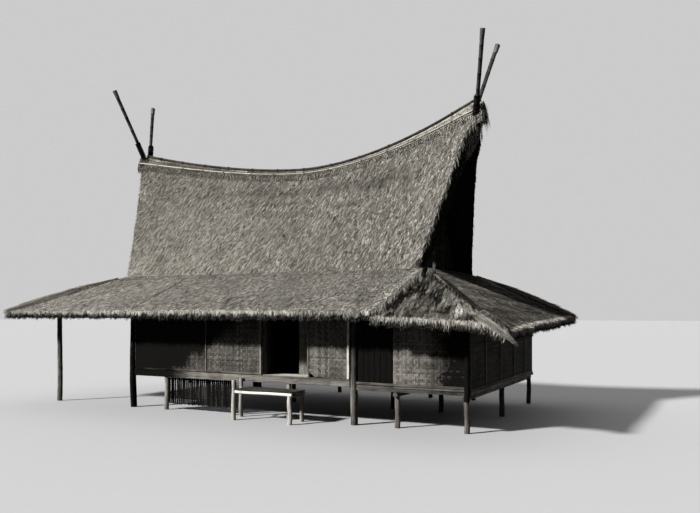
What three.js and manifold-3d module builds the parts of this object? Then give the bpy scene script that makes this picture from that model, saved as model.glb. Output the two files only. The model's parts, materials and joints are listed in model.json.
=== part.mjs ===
// Sundanese house on stilts: a steep saddle-backed thatch roof with crossed horns at both
// ends, gentle thatch aprons all round, woven walls, a recessed doorway with a step in front,
// a lower annex with a plank door, and an open bay at the other end.
// Millimetres, +X along the ridge, -Y is the front, +Z up. Origin: centre of the plan, on the ground.

import * as THREE from "three";
import { mergeVertices } from "three/addons/utils/BufferGeometryUtils.js";
import Module from "manifold-3d";

const wasm = await Module();
wasm.setup();

// Gap kept between pieces that touch, and between a timber and the thatch that lies on it.
const seam = 0.5;
const bedGap = 0.9;

// Plan of the rooms, outer faces of the walls.
const leftWallX = -3190;
const junctionX = 3310;
const rightWallX = 6020;
const frontWallY = -2800;
const backWallY = 2800;
const wallThickness = 40;

// Levels.
const floorTop = 1000;
const floorThickness = 60;
const sillBottom = 840;
const annexFloorTop = 850;
const annexFloorThickness = 70;
const doorSillTop = 960;
const wallTop = 2597;
const annexWallTop = 2372;
const plateHeight = 100;

// Recess in front of the open doorway, and the doorway itself.
const recessLeftX = 980;
const recessRightX = 2210;
const recessDepth = 500;
const doorwayRightX = 1690;
const doorwayTop = 2420;

// Annex door: a leaf that turns on its left edge.
const doorLeftX = 3500;
const doorRightX = 4318;
const doorTop = 2290;
const doorThickness = 36;
const doorClearance = 14;
const hingeInset = 18;
const pinRadius = 12;
const pinGap = 0.3;

// Posts and stilts.
const cornerPostRadius = 90;
const middlePostRadius = 80;
const cornerPoleRadius = 62;
const cornerPoleFoot = 660;
const bayPostRadius = 65;
const stiltRadius = 58;
const bearerHeight = 100;
const annexBearerRadius = 55;
const frontStiltX = [-2000, 110, 1700];
const innerStiltX = [-2890, 110, 3110];
const annexStiltY = [-2690, 0, 2670];
const annexBearerX = { annex_bearer_left: 4405, annex_bearer_right: 5945 };

// Open bay at the left end.
const bayPostX = -5910;
const bayPlateEndX = -6000;

// Roof in plan: half sizes of the eave and of the kink where steep thatch meets the aprons.
const eaveHalfX = 6980;
const eaveHalfY = 3620;
const kinkHalfX = 4660;
const kinkHalfY = 1540;
const kinkZ = 3500;

// Eaves: height of the thatch's top edge.
const eaveTop = 2500;
const cornerEaveTop = 2110;
const cornerSink = 120;
const sideEaveTop = 2250;
const backCornerEaveTop = 2350;

// Thatch, measured vertically.
const eaveThatch = 160;
const apronThatch = 230;
const steepThatch = 650;
const steepThatchFoot = 230;

// The right gable's verges: the back one reaches further out, the front one tucks in at its foot.
const backVergeReach = 200;
const frontVergeTuck = 100;

// Thatch bundles along the hips: where each starts on the way up (1 is the kink), and how thin
// it is at its upper and lower end. Only a stump of the front right one is left.
const rollRadius = 120;
const rollStart = 0.94;
const stumpStart = 0.32;
const rollTopShare = 0.35;
const rollFootShare = 0.6;

// Ridge: lowest point of the sagging line, and how it rises to the horns.
const ridgeLowX = 500;
const ridgeLowZ = 6370;
const ridgeLeftRise = 920;
const ridgeRightRise = 1270;
const ridgeLeftRun = 5660;
const ridgeRightRun = 4810;
const ridgeLeftPower = 1.58;
const ridgeRightPower = 1.9;
const ridgeEndX = 5440;
const ridgeLevelsOffAt = 5230;

// Ridge cap: its depth over the thatch, how far it beds into it, and its half width.
const capDepth = 150;
const capBedding = 70;
const capHalfWidth = 86;
const capEndSpread = 56;
const clampPlace = 0.9;
const capEndX = 5500;
const capSteps = 28;

// Bamboo poles.
const ridgePoleRadius = 34;
const clampPoleRadius = 26;
const hornRadius = 44;
const hornTipRadius = 54;

const thatch = { color: 0x8d8573, roughness: 0.95, metalness: 0 };
const thatchDark = { color: 0x6f6858, roughness: 0.95, metalness: 0 };
const weave = { color: 0xa89b82, roughness: 0.85, metalness: 0 };
const weaveDark = { color: 0x5d5445, roughness: 0.9, metalness: 0 };
const timber = { color: 0x6b6152, roughness: 0.85, metalness: 0 };
const bamboo = { color: 0x8b8068, roughness: 0.7, metalness: 0 };
const plank = { color: 0x4c453b, roughness: 0.85, metalness: 0 };

const house = new THREE.Group();

function addPiece(name, finish, geometry) {
  const mesh = new THREE.Mesh(geometry, new THREE.MeshStandardMaterial(finish));
  mesh.name = name;
  house.add(mesh);
  return mesh;
}

// Solids for boolean work.

function solidOf(geometry) {
  const bare = geometry.clone();
  bare.deleteAttribute("normal");
  bare.deleteAttribute("uv");
  const merged = mergeVertices(bare, 1e-3);
  return new wasm.Manifold(new wasm.Mesh({
    numProp: 3,
    vertProperties: new Float32Array(merged.attributes.position.array),
    triVerts: new Uint32Array(merged.index.array),
  }));
}

function geometryOf(solid) {
  const mesh = solid.getMesh();
  const geometry = new THREE.BufferGeometry();
  geometry.setAttribute("position", new THREE.BufferAttribute(new Float32Array(mesh.vertProperties), 3));
  geometry.setIndex(new THREE.BufferAttribute(new Uint32Array(mesh.triVerts), 1));
  geometry.computeVertexNormals();
  return geometry;
}

function joined(geometries) {
  return geometryOf(geometries.map(solidOf).reduce((a, b) => a.add(b)));
}

function cut(geometry, cutters) {
  return geometryOf(cutters.map(solidOf).reduce((a, b) => a.subtract(b), solidOf(geometry)));
}

const nudged = (geometry, dz, dx = 0) => geometry.clone().translate(dx, 0, dz);

// Plain shapes.

function block([x0, x1], [y0, y1], [z0, z1]) {
  const box = new THREE.BoxGeometry(x1 - x0, y1 - y0, z1 - z0);
  return box.translate((x0 + x1) / 2, (y0 + y1) / 2, (z0 + z1) / 2);
}

function upright(x, y, z0, z1, radius, sides = 10) {
  const post = new THREE.CylinderGeometry(radius, radius, z1 - z0, sides);
  return post.rotateX(Math.PI / 2).translate(x, y, (z0 + z1) / 2);
}

function straightPole(from, to, radiusFrom, radiusTo, sides = 10) {
  const start = new THREE.Vector3(...from);
  const end = new THREE.Vector3(...to);
  const along = end.clone().sub(start);
  const pole = new THREE.CylinderGeometry(radiusTo, radiusFrom, along.length(), sides);
  const turn = new THREE.Quaternion().setFromUnitVectors(new THREE.Vector3(0, 1, 0), along.normalize());
  return pole.applyQuaternion(turn).translate(...start.add(end).multiplyScalar(0.5).toArray());
}

// A flat outline in the YZ plane, drawn out along X.
function prismAlongX(outline, x0, x1) {
  const shape = new THREE.Shape(outline.map(([y, z]) => new THREE.Vector2(y, z)));
  const prism = new THREE.ExtrudeGeometry(shape, { depth: x1 - x0, bevelEnabled: false });
  const toRow = new THREE.Matrix4().makeBasis(
    new THREE.Vector3(0, 1, 0),
    new THREE.Vector3(0, 0, 1),
    new THREE.Vector3(1, 0, 0),
  );
  return prism.applyMatrix4(toRow).translate(x0, 0, 0);
}

// A box with a grid on its faces, bent so that u, v and w (each 0 to 1) land where place says.
function bentBox(stepsU, stepsV, place) {
  const box = new THREE.BoxGeometry(1, 1, 1, stepsU, stepsV, 1);
  const points = box.attributes.position;
  for (let i = 0; i < points.count; i += 1) {
    const spot = place(points.getX(i) + 0.5, points.getY(i) + 0.5, points.getZ(i) + 0.5);
    points.setXYZ(i, ...spot);
  }
  return facingOut(box);
}

function facingOut(geometry) {
  if (solidOf(geometry).volume() > 0) {
    geometry.computeVertexNormals();
    return geometry;
  }
  const index = geometry.index.array;
  for (let i = 0; i < index.length; i += 3) {
    [index[i], index[i + 1]] = [index[i + 1], index[i]];
  }
  geometry.computeVertexNormals();
  return geometry;
}

// A round pole whose middle line is lineAt(t), t from 0 to 1; sideAt gives one square direction,
// and swellAt how thick the pole is there, as a share of its radius.
function bentPole(steps, radius, sides, lineAt, sideAt, swellAt = () => 1) {
  const pole = new THREE.CylinderGeometry(radius, radius, 1, sides, steps);
  const points = pole.attributes.position;
  for (let i = 0; i < points.count; i += 1) {
    const t = points.getY(i) + 0.5;
    const spot = lineAt(t);
    const ahead = lineAt(t + 1e-4).sub(lineAt(t - 1e-4)).normalize();
    const side = sideAt(t).normalize();
    const other = new THREE.Vector3().crossVectors(ahead, side);
    const swell = swellAt(t);
    spot.addScaledVector(side, swell * points.getZ(i)).addScaledVector(other, swell * points.getX(i));
    points.setXYZ(i, spot.x, spot.y, spot.z);
  }
  return facingOut(pole);
}

const mix = (a, b, t) => a + (b - a) * t;
const smooth = (t) => t * t * (3 - 2 * t);
const between = (t, lo, hi) => smooth(Math.min(1, Math.max(0, (t - lo) / (hi - lo))));

// The ridge line and the ends of the steep thatch.

function capTopAt(x) {
  const off = Math.min(x, ridgeLevelsOffAt) - ridgeLowX;
  if (off < 0) {
    return ridgeLowZ + ridgeLeftRise * (-off / ridgeLeftRun) ** ridgeLeftPower;
  }
  return ridgeLowZ + ridgeRightRise * (off / ridgeRightRun) ** ridgeRightPower;
}

const thatchRidgeAt = (x) => capTopAt(x) - capDepth;

const leftEndAt = (v) => -(4560 + 880 * v ** 1.1);

function rightEndAt(v, side) {
  const end = 4510 + 650 * v ** 1.25 + 280 * v ** 8;
  if (side > 0) {
    return end + backVergeReach * (1 - v ** 6);
  }
  return end - frontVergeTuck * (1 - between(v, 0.1, 0.45));
}

// One slope of the steep thatch; grow swells it a little, for cutting what rests on it.
function steepSlope(side, grow = 0) {
  return bentBox(28, 6, (u, part, w) => {
    const v = part * (1 + 2 * grow / kinkHalfY);
    const x = mix(leftEndAt(v) - grow, rightEndAt(v, side) + grow, u);
    const top = mix(kinkZ, thatchRidgeAt(x), v) + 2 * grow;
    const y = side * mix(kinkHalfY - seam, seam, v);
    const depth = mix(steepThatchFoot, steepThatch, Math.min(1, 3 * v));
    return [x, y, top - depth * (1 - w)];
  });
}

// The cap's surface: s runs from -1 at its front edge to 1 at its back edge.
function capSurface(x, s) {
  const halfWidth = capHalfWidth + capEndSpread * Math.abs(x / ridgeEndX) ** 3;
  const fall = 0.95 * (thatchRidgeAt(x) - kinkZ) / kinkHalfY;
  const y = halfWidth * s;
  return new THREE.Vector3(x, y, capTopAt(x) - Math.max(0, Math.abs(y) - 20) * fall);
}

function ridgeCapBlank() {
  return bentBox(capSteps, 6, (u, v, w) => {
    const spot = capSurface(mix(-capEndX, capEndX, u), 2 * v - 1);
    return [spot.x, spot.y, spot.z - (capDepth + capBedding) * (1 - w)];
  });
}

// A pole that lies on the cap along the line s, stopping some of the cap's steps short at each end.
function capLine(s, radius, short) {
  const lift = radius + 0.8;
  const endX = capEndX * (1 - 2 * short / capSteps);
  const stationX = (t) => mix(-endX, endX, t);
  const normalAt = (t) => {
    const x = stationX(t);
    const alongX = capSurface(x + 5, s).sub(capSurface(x - 5, s));
    if (s === 0) {
      return new THREE.Vector3(-alongX.z, 0, alongX.x).normalize();
    }
    const alongY = capSurface(x, s * 1.05).sub(capSurface(x, s * 0.95)).multiplyScalar(Math.sign(s));
    return alongX.cross(alongY).normalize();
  };
  const lineAt = (t) => capSurface(stationX(t), s).addScaledVector(normalAt(t), lift);
  return bentPole(capSteps - 2 * short, radius, 8, lineAt, normalAt);
}

// Aprons. In each, v runs from the eave (0) to the kink (1).

const apronThatchAt = (v) => mix(eaveThatch, apronThatch, v);
const apronEndX = (v) => mix(eaveHalfX, kinkHalfX, v);
const apronHalfY = (v) => mix(eaveHalfY, kinkHalfY, v);
const mainApronEndX = (v) => mix(4200, 4540, v);

function frontApron() {
  return bentBox(16, 3, (u, v, w) => {
    const x = mix(-apronEndX(v) + seam, mainApronEndX(v) - seam, u);
    const top = mix(eaveTop, kinkZ, v);
    return [x, -apronHalfY(v) - (v === 1 ? seam : 0), top - apronThatchAt(v) * (1 - w)];
  });
}

function cornerEaveAt(u) {
  return mix(2390, 2270, u) - (2270 - cornerEaveTop) * u ** 8;
}

function cornerApron() {
  return bentBox(8, 4, (u, v, w) => {
    const x = mix(mainApronEndX(v) + seam, apronEndX(v) - seam, u);
    const sink = cornerSink * (1 - u ** 6) * v * (2 - v);
    const top = mix(cornerEaveAt(u), kinkZ, v) - sink;
    return [x, -apronHalfY(v) - (v === 1 ? seam : 0), top - apronThatchAt(v) * (1 - w)];
  });
}

function backEaveAt(x) {
  return mix(eaveTop, backCornerEaveTop, between(x, 3600, eaveHalfX));
}

function backApron() {
  return bentBox(18, 3, (u, v, w) => {
    const x = mix(-apronEndX(v) + seam, apronEndX(v) - seam, u);
    const atEave = mix(-eaveHalfX, eaveHalfX, u);
    const top = mix(backEaveAt(atEave), kinkZ, v);
    return [x, apronHalfY(v) + (v === 1 ? seam : 0), top - apronThatchAt(v) * (1 - w)];
  });
}

function sideEaveAt(u) {
  if (u < 0.5) {
    return mix(cornerEaveTop, sideEaveTop, smooth(2 * u));
  }
  return mix(sideEaveTop, backCornerEaveTop, smooth(2 * u - 1));
}

function sideApron(sign) {
  return bentBox(10, 3, (u, v, w) => {
    const y = mix(-apronHalfY(v) + seam, apronHalfY(v) - seam, u);
    const edge = sign > 0 ? sideEaveAt(u) : eaveTop;
    const top = mix(edge, kinkZ, v);
    return [sign * (apronEndX(v) + seam), y, top - apronThatchAt(v) * (1 - w)];
  });
}

// A bundle laid down the hip to the eave's corner, drawn in at both ends.
function hipRoll(signX, signY, eaveZ, start = rollStart) {
  const top = new THREE.Vector3(
    signX * apronEndX(start),
    signY * apronHalfY(start),
    mix(eaveZ, kinkZ, start),
  );
  const low = new THREE.Vector3(signX * (eaveHalfX - 70), signY * (eaveHalfY - 60), eaveZ + 20);
  const lineAt = (t) => top.clone().lerp(low, t);
  const sideAt = () => new THREE.Vector3(low.y - top.y, top.x - low.x, 0);
  const swellAt = (t) => mix(rollTopShare, 1, between(t, 0, 0.4)) * mix(1, rollFootShare, between(t, 0.7, 1));
  return bentPole(7, rollRadius, 8, lineAt, sideAt, swellAt);
}

function apronWithRolls(sign, rolls, neighbours) {
  const withRolls = joined([sideApron(sign), ...rolls]);
  const above = neighbours.map((shell) => nudged(shell, bedGap, 0.6 * sign));
  const below = neighbours.map((shell) => nudged(shell, -bedGap, 0.6 * sign));
  return cut(withRolls, [...above, ...below]);
}

// Horns: crossed poles that pass through the ridge's ends.

const hornFoot = 560;

const horns = {
  horn_right_front: { crossing: [5270, 0, 7000], tip: [5710, -800, 9020] },
  horn_right_back: { crossing: [5165, 0, 7000], tip: [5610, 800, 9180] },
  horn_left_front: { crossing: [-5270, 0, 7060], tip: [-5840, -800, 9250] },
  horn_left_back: { crossing: [-5165, 0, 7060], tip: [-5790, 800, 9100] },
};

// The pole runs from its foot, hornFoot below the crossing, to its tip; grow swells it for a socket.
function hornShape({ crossing, tip }, grow = 0) {
  const middle = new THREE.Vector3(...crossing);
  const down = middle.clone().sub(new THREE.Vector3(...tip)).normalize();
  const low = middle.addScaledVector(down, hornFoot + grow).toArray();
  return straightPole(low, tip, hornRadius + grow, hornTipRadius + grow);
}

function buildRoof() {
  const sockets = Object.values(horns).map((place) => hornShape(place, seam));
  const steepFront = steepSlope(-1);
  const steepBack = steepSlope(1);
  addPiece("upper_roof_front", thatch, cut(steepFront, sockets));
  addPiece("upper_roof_back", thatch, cut(steepBack, sockets));

  const front = frontApron();
  const corner = cornerApron();
  const back = backApron();
  addPiece("lower_roof_front", thatch, front);
  addPiece("lower_roof_corner", thatchDark, corner);
  addPiece("lower_roof_back", thatch, back);

  const steep = [steepFront, steepBack];
  const leftRolls = [hipRoll(-1, -1, eaveTop), hipRoll(-1, 1, eaveTop)];
  const rightRolls = [hipRoll(1, -1, cornerEaveTop, stumpStart), hipRoll(1, 1, backCornerEaveTop)];
  addPiece("lower_roof_left", thatch, apronWithRolls(-1, leftRolls, [front, back, ...steep]));
  addPiece("lower_roof_right", thatch, apronWithRolls(1, rightRolls, [corner, back, ...steep]));

  const capSeats = [steepSlope(-1, 1), steepSlope(1, 1)];
  addPiece("ridge_cap", thatchDark, cut(ridgeCapBlank(), [...capSeats, ...sockets]));
  addPiece("ridge_pole_top", bamboo, capLine(0, ridgePoleRadius, 1));
  addPiece("ridge_pole_front", bamboo, capLine(-clampPlace, clampPoleRadius, 1));
  addPiece("ridge_pole_back", bamboo, capLine(clampPlace, clampPoleRadius, 1));
  for (const [name, place] of Object.entries(horns)) {
    addPiece(name, bamboo, hornShape(place));
  }
  return { steep, front, corner, back };
}

// Roof frame: purlins under the kink with their inner posts, and a closed gable at each end.

const purlinY = 1330;
const purlinHalf = 60;
const purlinBottom = 3240;
const innerPostRadius = 55;
const innerPostX = [leftWallX + 110, junctionX - 70];
const gableX = 4280;
const gableHalf = 20;

function purlin(side, roof) {
  const y = side * purlinY;
  const reach = gableX + 2 * purlinHalf;
  const beam = block([-reach, reach], [y - purlinHalf, y + purlinHalf], [purlinBottom, kinkZ + 80]);
  const under = innerPostX.map((x) => upright(x, y, floorTop + seam, purlinBottom + 60, innerPostRadius));
  return cut(joined([beam, ...under]), roof.map((shell) => nudged(shell, -bedGap)));
}

function gable(x, roof) {
  const apex = thatchRidgeAt(x) - 300;
  const foot = purlinY - purlinHalf - seam;
  const outline = [[-foot, purlinBottom], [foot, purlinBottom], [foot, kinkZ], [0, apex], [-foot, kinkZ]];
  const blank = prismAlongX(outline, x - gableHalf, x + gableHalf);
  return cut(blank, roof.steep.map((slope) => nudged(slope, -bedGap)));
}

function buildRoofFrame(roof) {
  addPiece("purlin_front", timber, purlin(-1, [...roof.steep, roof.front, roof.corner]));
  addPiece("purlin_back", timber, purlin(1, [...roof.steep, roof.back]));
  addPiece("gable_left", weaveDark, gable(-gableX, roof));
  addPiece("gable_right", weaveDark, gable(gableX, roof));
}

// Posts through the floor, as [x, y, bottom, top, radius].

const posts = {
  corner_post_front_left: [leftWallX + 75, frontWallY + 45, 0, wallTop, cornerPostRadius],
  corner_post_back_left: [leftWallX + 75, backWallY - 45, 0, wallTop, cornerPostRadius],
  middle_post_front: [junctionX + 82, frontWallY + 50, 0, wallTop, middlePostRadius],
  corner_pole_front_right: [rightWallX - 35, frontWallY - 10, cornerPoleFoot, annexWallTop, cornerPoleRadius],
};

function buildPosts() {
  for (const [name, [x, y, bottom, top, radius]] of Object.entries(posts)) {
    addPiece(name, timber, upright(x, y, bottom, top, radius, 12));
  }
}

function postHoles() {
  const hole = ([x, y, , , radius]) => upright(x, y, -100, kinkZ, radius + seam, 12);
  return Object.values(posts).map(hole);
}

// Floors and what carries them.

const mainUnder = floorTop - floorThickness - seam;
const annexUnder = annexFloorTop - annexFloorThickness - seam;

function addOverPosts(name, finish, pieces) {
  addPiece(name, finish, cut(joined(pieces), postHoles()));
}

function buildFloors() {
  addOverPosts("floor_main", timber, [
    block([leftWallX, junctionX - seam], [frontWallY, backWallY], [mainUnder + seam, floorTop]),
  ]);
  addOverPosts("floor_annex", timber, [
    block([junctionX + seam, rightWallX], [frontWallY, backWallY], [annexUnder + seam, annexFloorTop]),
  ]);
}

// The front sill: a beam under the floor's edge with a face board up to the floor's top.
function buildFrontSill() {
  const face = frontWallY - 30;
  const back = frontWallY + 90;
  const section = [
    [face, sillBottom],
    [back, sillBottom],
    [back, mainUnder],
    [frontWallY - seam, mainUnder],
    [frontWallY - seam, floorTop],
    [face, floorTop],
  ];
  const stilts = frontStiltX.map((x) => upright(x, frontWallY + 40, 0, sillBottom + 20, stiltRadius));
  addOverPosts("front_sill", plank, [prismAlongX(section, leftWallX + 75, junctionX - seam), ...stilts]);
}

function buildBearers() {
  const rows = { bearer_middle: 0, bearer_back: backWallY - 110 };
  for (const [name, y] of Object.entries(rows)) {
    const beamZ = [mainUnder - bearerHeight, mainUnder];
    const beam = block([leftWallX + 10, junctionX - 30], [y - 50, y + 50], beamZ);
    const stilts = innerStiltX.map((x) => upright(x, y, 0, mainUnder - 20, stiltRadius));
    addOverPosts(name, timber, [beam, ...stilts]);
  }
  const middleZ = annexUnder - annexBearerRadius;
  for (const [name, x] of Object.entries(annexBearerX)) {
    const from = [x, frontWallY - 30, middleZ];
    const to = [x, backWallY - 20, middleZ];
    const beam = straightPole(from, to, annexBearerRadius, annexBearerRadius);
    const stilts = annexStiltY.map((y) => upright(x, y, 0, middleZ + 15, stiltRadius));
    addOverPosts(name, timber, [beam, ...stilts]);
  }
}

// Walls.

function wallPiece(name, xs, ys, zs, finish = weave, cutters = []) {
  addPiece(name, finish, cut(block(xs, ys, zs), [...postHoles(), ...cutters]));
}

// The panel beside the recess has lost its lower left corner: [right of its edge, above the floor].
const tornCorner = [[-20, -20], [535, -20], [530, 4], [198, 22], [45, 120], [0, 155], [-20, 155]];

function tornAway() {
  const corners = tornCorner.map(([x, z]) => new THREE.Vector2(recessRightX + x, floorTop + z));
  const shape = new THREE.Shape(corners);
  const tear = new THREE.ExtrudeGeometry(shape, { depth: 2 * wallThickness, bevelEnabled: false });
  return tear.rotateX(Math.PI / 2).translate(0, frontWallY + 1.5 * wallThickness, 0);
}

const high = [floorTop + seam, wallTop - seam];
const annexHigh = [annexFloorTop + seam, annexWallTop - seam];
const frontY = [frontWallY, frontWallY + wallThickness];
const backY = [backWallY - wallThickness, backWallY];

function buildMainWalls() {
  const recessY = frontY.map((y) => y + recessDepth);
  const sideY = [frontY[1] + seam, recessY[1]];
  const overDoorway = [doorwayTop, high[1]];
  const besidePost = leftWallX + 75;
  wallPiece("front_wall_left", [besidePost, recessLeftX - seam], frontY, high);
  wallPiece("recess_side_left", [recessLeftX - wallThickness, recessLeftX], sideY, high);
  wallPiece("recess_wall", [doorwayRightX, recessRightX - seam], recessY, high);
  wallPiece("recess_lintel", [recessLeftX + seam, doorwayRightX - seam], recessY, overDoorway, timber);
  wallPiece("recess_side_right", [recessRightX, recessRightX + wallThickness], sideY, high);
  wallPiece("front_panel", [recessRightX, junctionX - seam], frontY, high, weave, [tornAway()]);
  wallPiece("back_wall", [besidePost, junctionX - seam], backY, high);
  wallPiece("left_wall", [leftWallX, leftWallX + wallThickness], [frontWallY + 45, backWallY - 45], high);
}

function buildAnnexWalls() {
  const doorFrame = [junctionX + 168, doorRightX + 26];
  const sideY = [frontWallY + 50, backY[0] - seam];
  wallPiece("door_sill", doorFrame, [frontWallY - 12, frontWallY + 60], [annexHigh[0], doorSillTop], timber);
  wallPiece("door_lintel", doorFrame, frontY, [doorTop + doorClearance, annexHigh[1]], timber);
  wallPiece("annex_front_wall", [doorRightX + 27, rightWallX - wallThickness - 1], frontY, annexHigh);
  wallPiece("right_wall", [rightWallX - wallThickness, rightWallX], sideY, annexHigh);
  wallPiece("annex_back_wall", [junctionX + seam, rightWallX], backY, annexHigh);
}

// The leaf turns on a pin that stands on the sill and reaches up to the lintel.
function buildDoor() {
  const leafY = frontWallY + 2;
  const leaf = block(
    [doorLeftX, doorRightX],
    [leafY, leafY + doorThickness],
    [doorSillTop + doorClearance, doorTop],
  );
  const pin = upright(doorLeftX + hingeInset, leafY + doorThickness / 2,
    doorSillTop + pinGap, doorTop + doorClearance - pinGap, pinRadius);
  addPiece("annex_door", plank, joined([leaf, pin]));
}

// Wall plates, and the open bay's posts with their cross beam.

function buildPlates(roof) {
  const shells = Object.values(roof).flat().map((shell) => nudged(shell, -bedGap));
  const addPlate = (name, xs, ys, bottom) => {
    addPiece(name, timber, cut(block(xs, ys, [bottom, bottom + plateHeight]), shells));
  };
  const plateJointX = junctionX + 160;
  const alongMain = [bayPlateEndX, plateJointX];
  const alongAnnex = [plateJointX + 5, rightWallX + 20];
  const front = [frontWallY - 10, frontWallY + 90];
  const back = [backWallY - 90, backWallY + 10];
  addPlate("plate_front", alongMain, front, wallTop);
  addPlate("plate_back", alongMain, back, wallTop);
  addPlate("plate_annex_front", alongAnnex, front, annexWallTop);
  addPlate("plate_annex_back", alongAnnex, back, annexWallTop);
}

function buildOpenBay() {
  const beamBottom = wallTop - 110;
  const beam = block(
    [bayPostX - 50, bayPostX + 50],
    [frontWallY - 10, backWallY + 10],
    [beamBottom, wallTop - seam],
  );
  const bayPostY = [frontWallY + 40, backWallY - 40];
  const uprights = bayPostY.map((y) => upright(bayPostX, y, 0, beamBottom + 50, bayPostRadius));
  addPiece("bay_frame_left", timber, joined([beam, ...uprights]));
}

// Slatted screen under the floor.

const screen = { left: -2110, right: -30, behindWall: 120, thickness: 25, bottom: 130 };

function buildScreen() {
  const front = frontWallY + screen.behindWall;
  addPiece("floor_screen", plank, block(
    [screen.left, screen.right],
    [front, front + screen.thickness],
    [screen.bottom, mainUnder],
  ));
}

// The step in front of the doorway: two tall legs at its left reach the sill.

const step = {
  front: -3400,
  frontLeft: 600,
  backLeft: 430,
  right: 2120,
  legRadius: 50,
  tallTop: 920,
  railZ: 655,
  railRadius: 40,
  railEnd: 60,
  crossRadius: 32,
  crossDrop: 50,
  treadThickness: 28,
};

function buildStep() {
  const back = frontWallY - 30 - seam - step.legRadius;
  const rows = [[step.frontLeft, step.front], [step.backLeft, back]];
  const endX = step.right + step.railEnd;
  const crossZ = step.railZ - step.crossDrop;
  const tallLegs = rows.map(([x, y]) => upright(x, y, 0, step.tallTop, step.legRadius));
  const shortLegs = rows.map(([, y]) => upright(step.right, y, 0, step.railZ, step.legRadius));
  const rail = ([x, y]) => straightPole(
    [x, y, step.railZ], [endX, y, step.railZ], step.railRadius, step.railRadius, 8,
  );
  const cross = ([x0, x1]) => straightPole(
    [x0, step.front, crossZ], [x1, back, crossZ], step.crossRadius, step.crossRadius, 8,
  );
  const crosses = [[step.frontLeft, step.backLeft], [step.right, step.right]].map(cross);
  addPiece("step_frame", bamboo, joined([...tallLegs, ...shortLegs, ...rows.map(rail), ...crosses]));

  const topZ = step.railZ + step.railRadius + seam;
  addPiece("step_top", bamboo, block(
    [step.frontLeft + 60, endX],
    [step.front - 40, back + 40],
    [topZ, topZ + step.treadThickness],
  ));
}

const roof = buildRoof();
buildRoofFrame(roof);
buildPosts();
buildFloors();
buildFrontSill();
buildBearers();
buildMainWalls();
buildAnnexWalls();
buildDoor();
buildPlates(roof);
buildOpenBay();
buildScreen();
buildStep();

export default house;
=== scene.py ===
import json
import math

import bpy
import numpy as np
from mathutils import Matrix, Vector

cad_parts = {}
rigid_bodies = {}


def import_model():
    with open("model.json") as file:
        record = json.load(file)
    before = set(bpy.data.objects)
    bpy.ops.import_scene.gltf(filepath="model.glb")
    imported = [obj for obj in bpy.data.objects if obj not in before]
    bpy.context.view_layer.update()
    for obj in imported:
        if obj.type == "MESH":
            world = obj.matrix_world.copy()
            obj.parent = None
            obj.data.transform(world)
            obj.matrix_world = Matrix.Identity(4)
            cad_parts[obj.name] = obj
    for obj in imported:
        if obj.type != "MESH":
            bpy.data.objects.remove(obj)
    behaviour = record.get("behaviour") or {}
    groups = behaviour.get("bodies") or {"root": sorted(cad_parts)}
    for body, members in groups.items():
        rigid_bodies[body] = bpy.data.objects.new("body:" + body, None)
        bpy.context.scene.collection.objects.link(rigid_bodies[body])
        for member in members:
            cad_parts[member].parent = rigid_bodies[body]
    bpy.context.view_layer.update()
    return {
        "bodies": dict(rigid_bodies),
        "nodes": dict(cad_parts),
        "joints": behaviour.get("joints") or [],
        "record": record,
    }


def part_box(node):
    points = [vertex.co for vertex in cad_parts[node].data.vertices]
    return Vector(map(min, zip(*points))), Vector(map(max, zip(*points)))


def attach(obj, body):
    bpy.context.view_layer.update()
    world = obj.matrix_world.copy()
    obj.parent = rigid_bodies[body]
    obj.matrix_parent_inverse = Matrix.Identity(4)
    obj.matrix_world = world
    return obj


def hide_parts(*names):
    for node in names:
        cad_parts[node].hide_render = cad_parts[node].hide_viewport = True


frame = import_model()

# House on stilts: thatch made of single blades, plaited walls, round timber and bamboo.
# Metres, +X along the ridge, -Y is the front, +Z up.

cadNodes = frame["nodes"]
print("frame loaded:", len(cadNodes), "nodes")


# Camera

cameraPlan = {
    "place": (10.41, -16.5, 2.49),
    "turnedLeft": 27.4,  # degrees away from a straight view of the front
    "lens": 36.0,
    "shiftUp": 0.0793,
}


def addCamera():
    data = bpy.data.cameras.new("camera")
    data.lens = cameraPlan["lens"]
    data.sensor_width = 36.0
    data.shift_y = cameraPlan["shiftUp"]
    data.clip_end = 500.0
    holder = bpy.data.objects.new("camera", data)
    holder.location = cameraPlan["place"]
    holder.rotation_euler = (math.radians(90), 0, math.radians(cameraPlan["turnedLeft"]))
    bpy.context.scene.collection.objects.link(holder)
    bpy.context.scene.camera = holder


addCamera()


# Small tools for arrays of points

upAxis = np.array([0.0, 0.0, 1.0])


def unit(vectors):
    return vectors / np.maximum(np.linalg.norm(vectors, axis=-1, keepdims=True), 1e-9)


def mix(a, b, t):
    return a + (b - a) * t


def fade(values, low, high):
    t = np.clip((values - low) / (high - low), 0, 1)
    return t * t * (3 - 2 * t)


def strewn(way, spread, shape, rng):
    # directions around one way, or around each point's own way
    return unit(way + rng.normal(0, spread, shape))


def softNoise(points, size, seed):
    # smooth noise from about -1 to 1: a few sine waves in directions drawn from the seed
    waves = np.random.default_rng(seed)
    total = np.zeros(len(points))
    for _ in range(6):
        direction = unit(waves.normal(size=3)) * waves.uniform(0.6, 1.6) * 2 * math.pi / size
        total += np.sin(points @ direction + waves.uniform(0, 2 * math.pi))
    return total / 3.2


def quadsToTriangles(quads):
    return np.concatenate([quads[:, [0, 1, 2]], quads[:, [0, 2, 3]]])


def joined(parts):
    # parts are dictionaries with points, faces (triangles), and tone and grain for each point
    starts = np.cumsum([0] + [len(part["points"]) for part in parts])
    whole = {key: np.concatenate([part[key] for part in parts]) for key in ("points", "tone", "grain")}
    whole["faces"] = np.concatenate([part["faces"] + start for part, start in zip(parts, starts)])
    return whole


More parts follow.
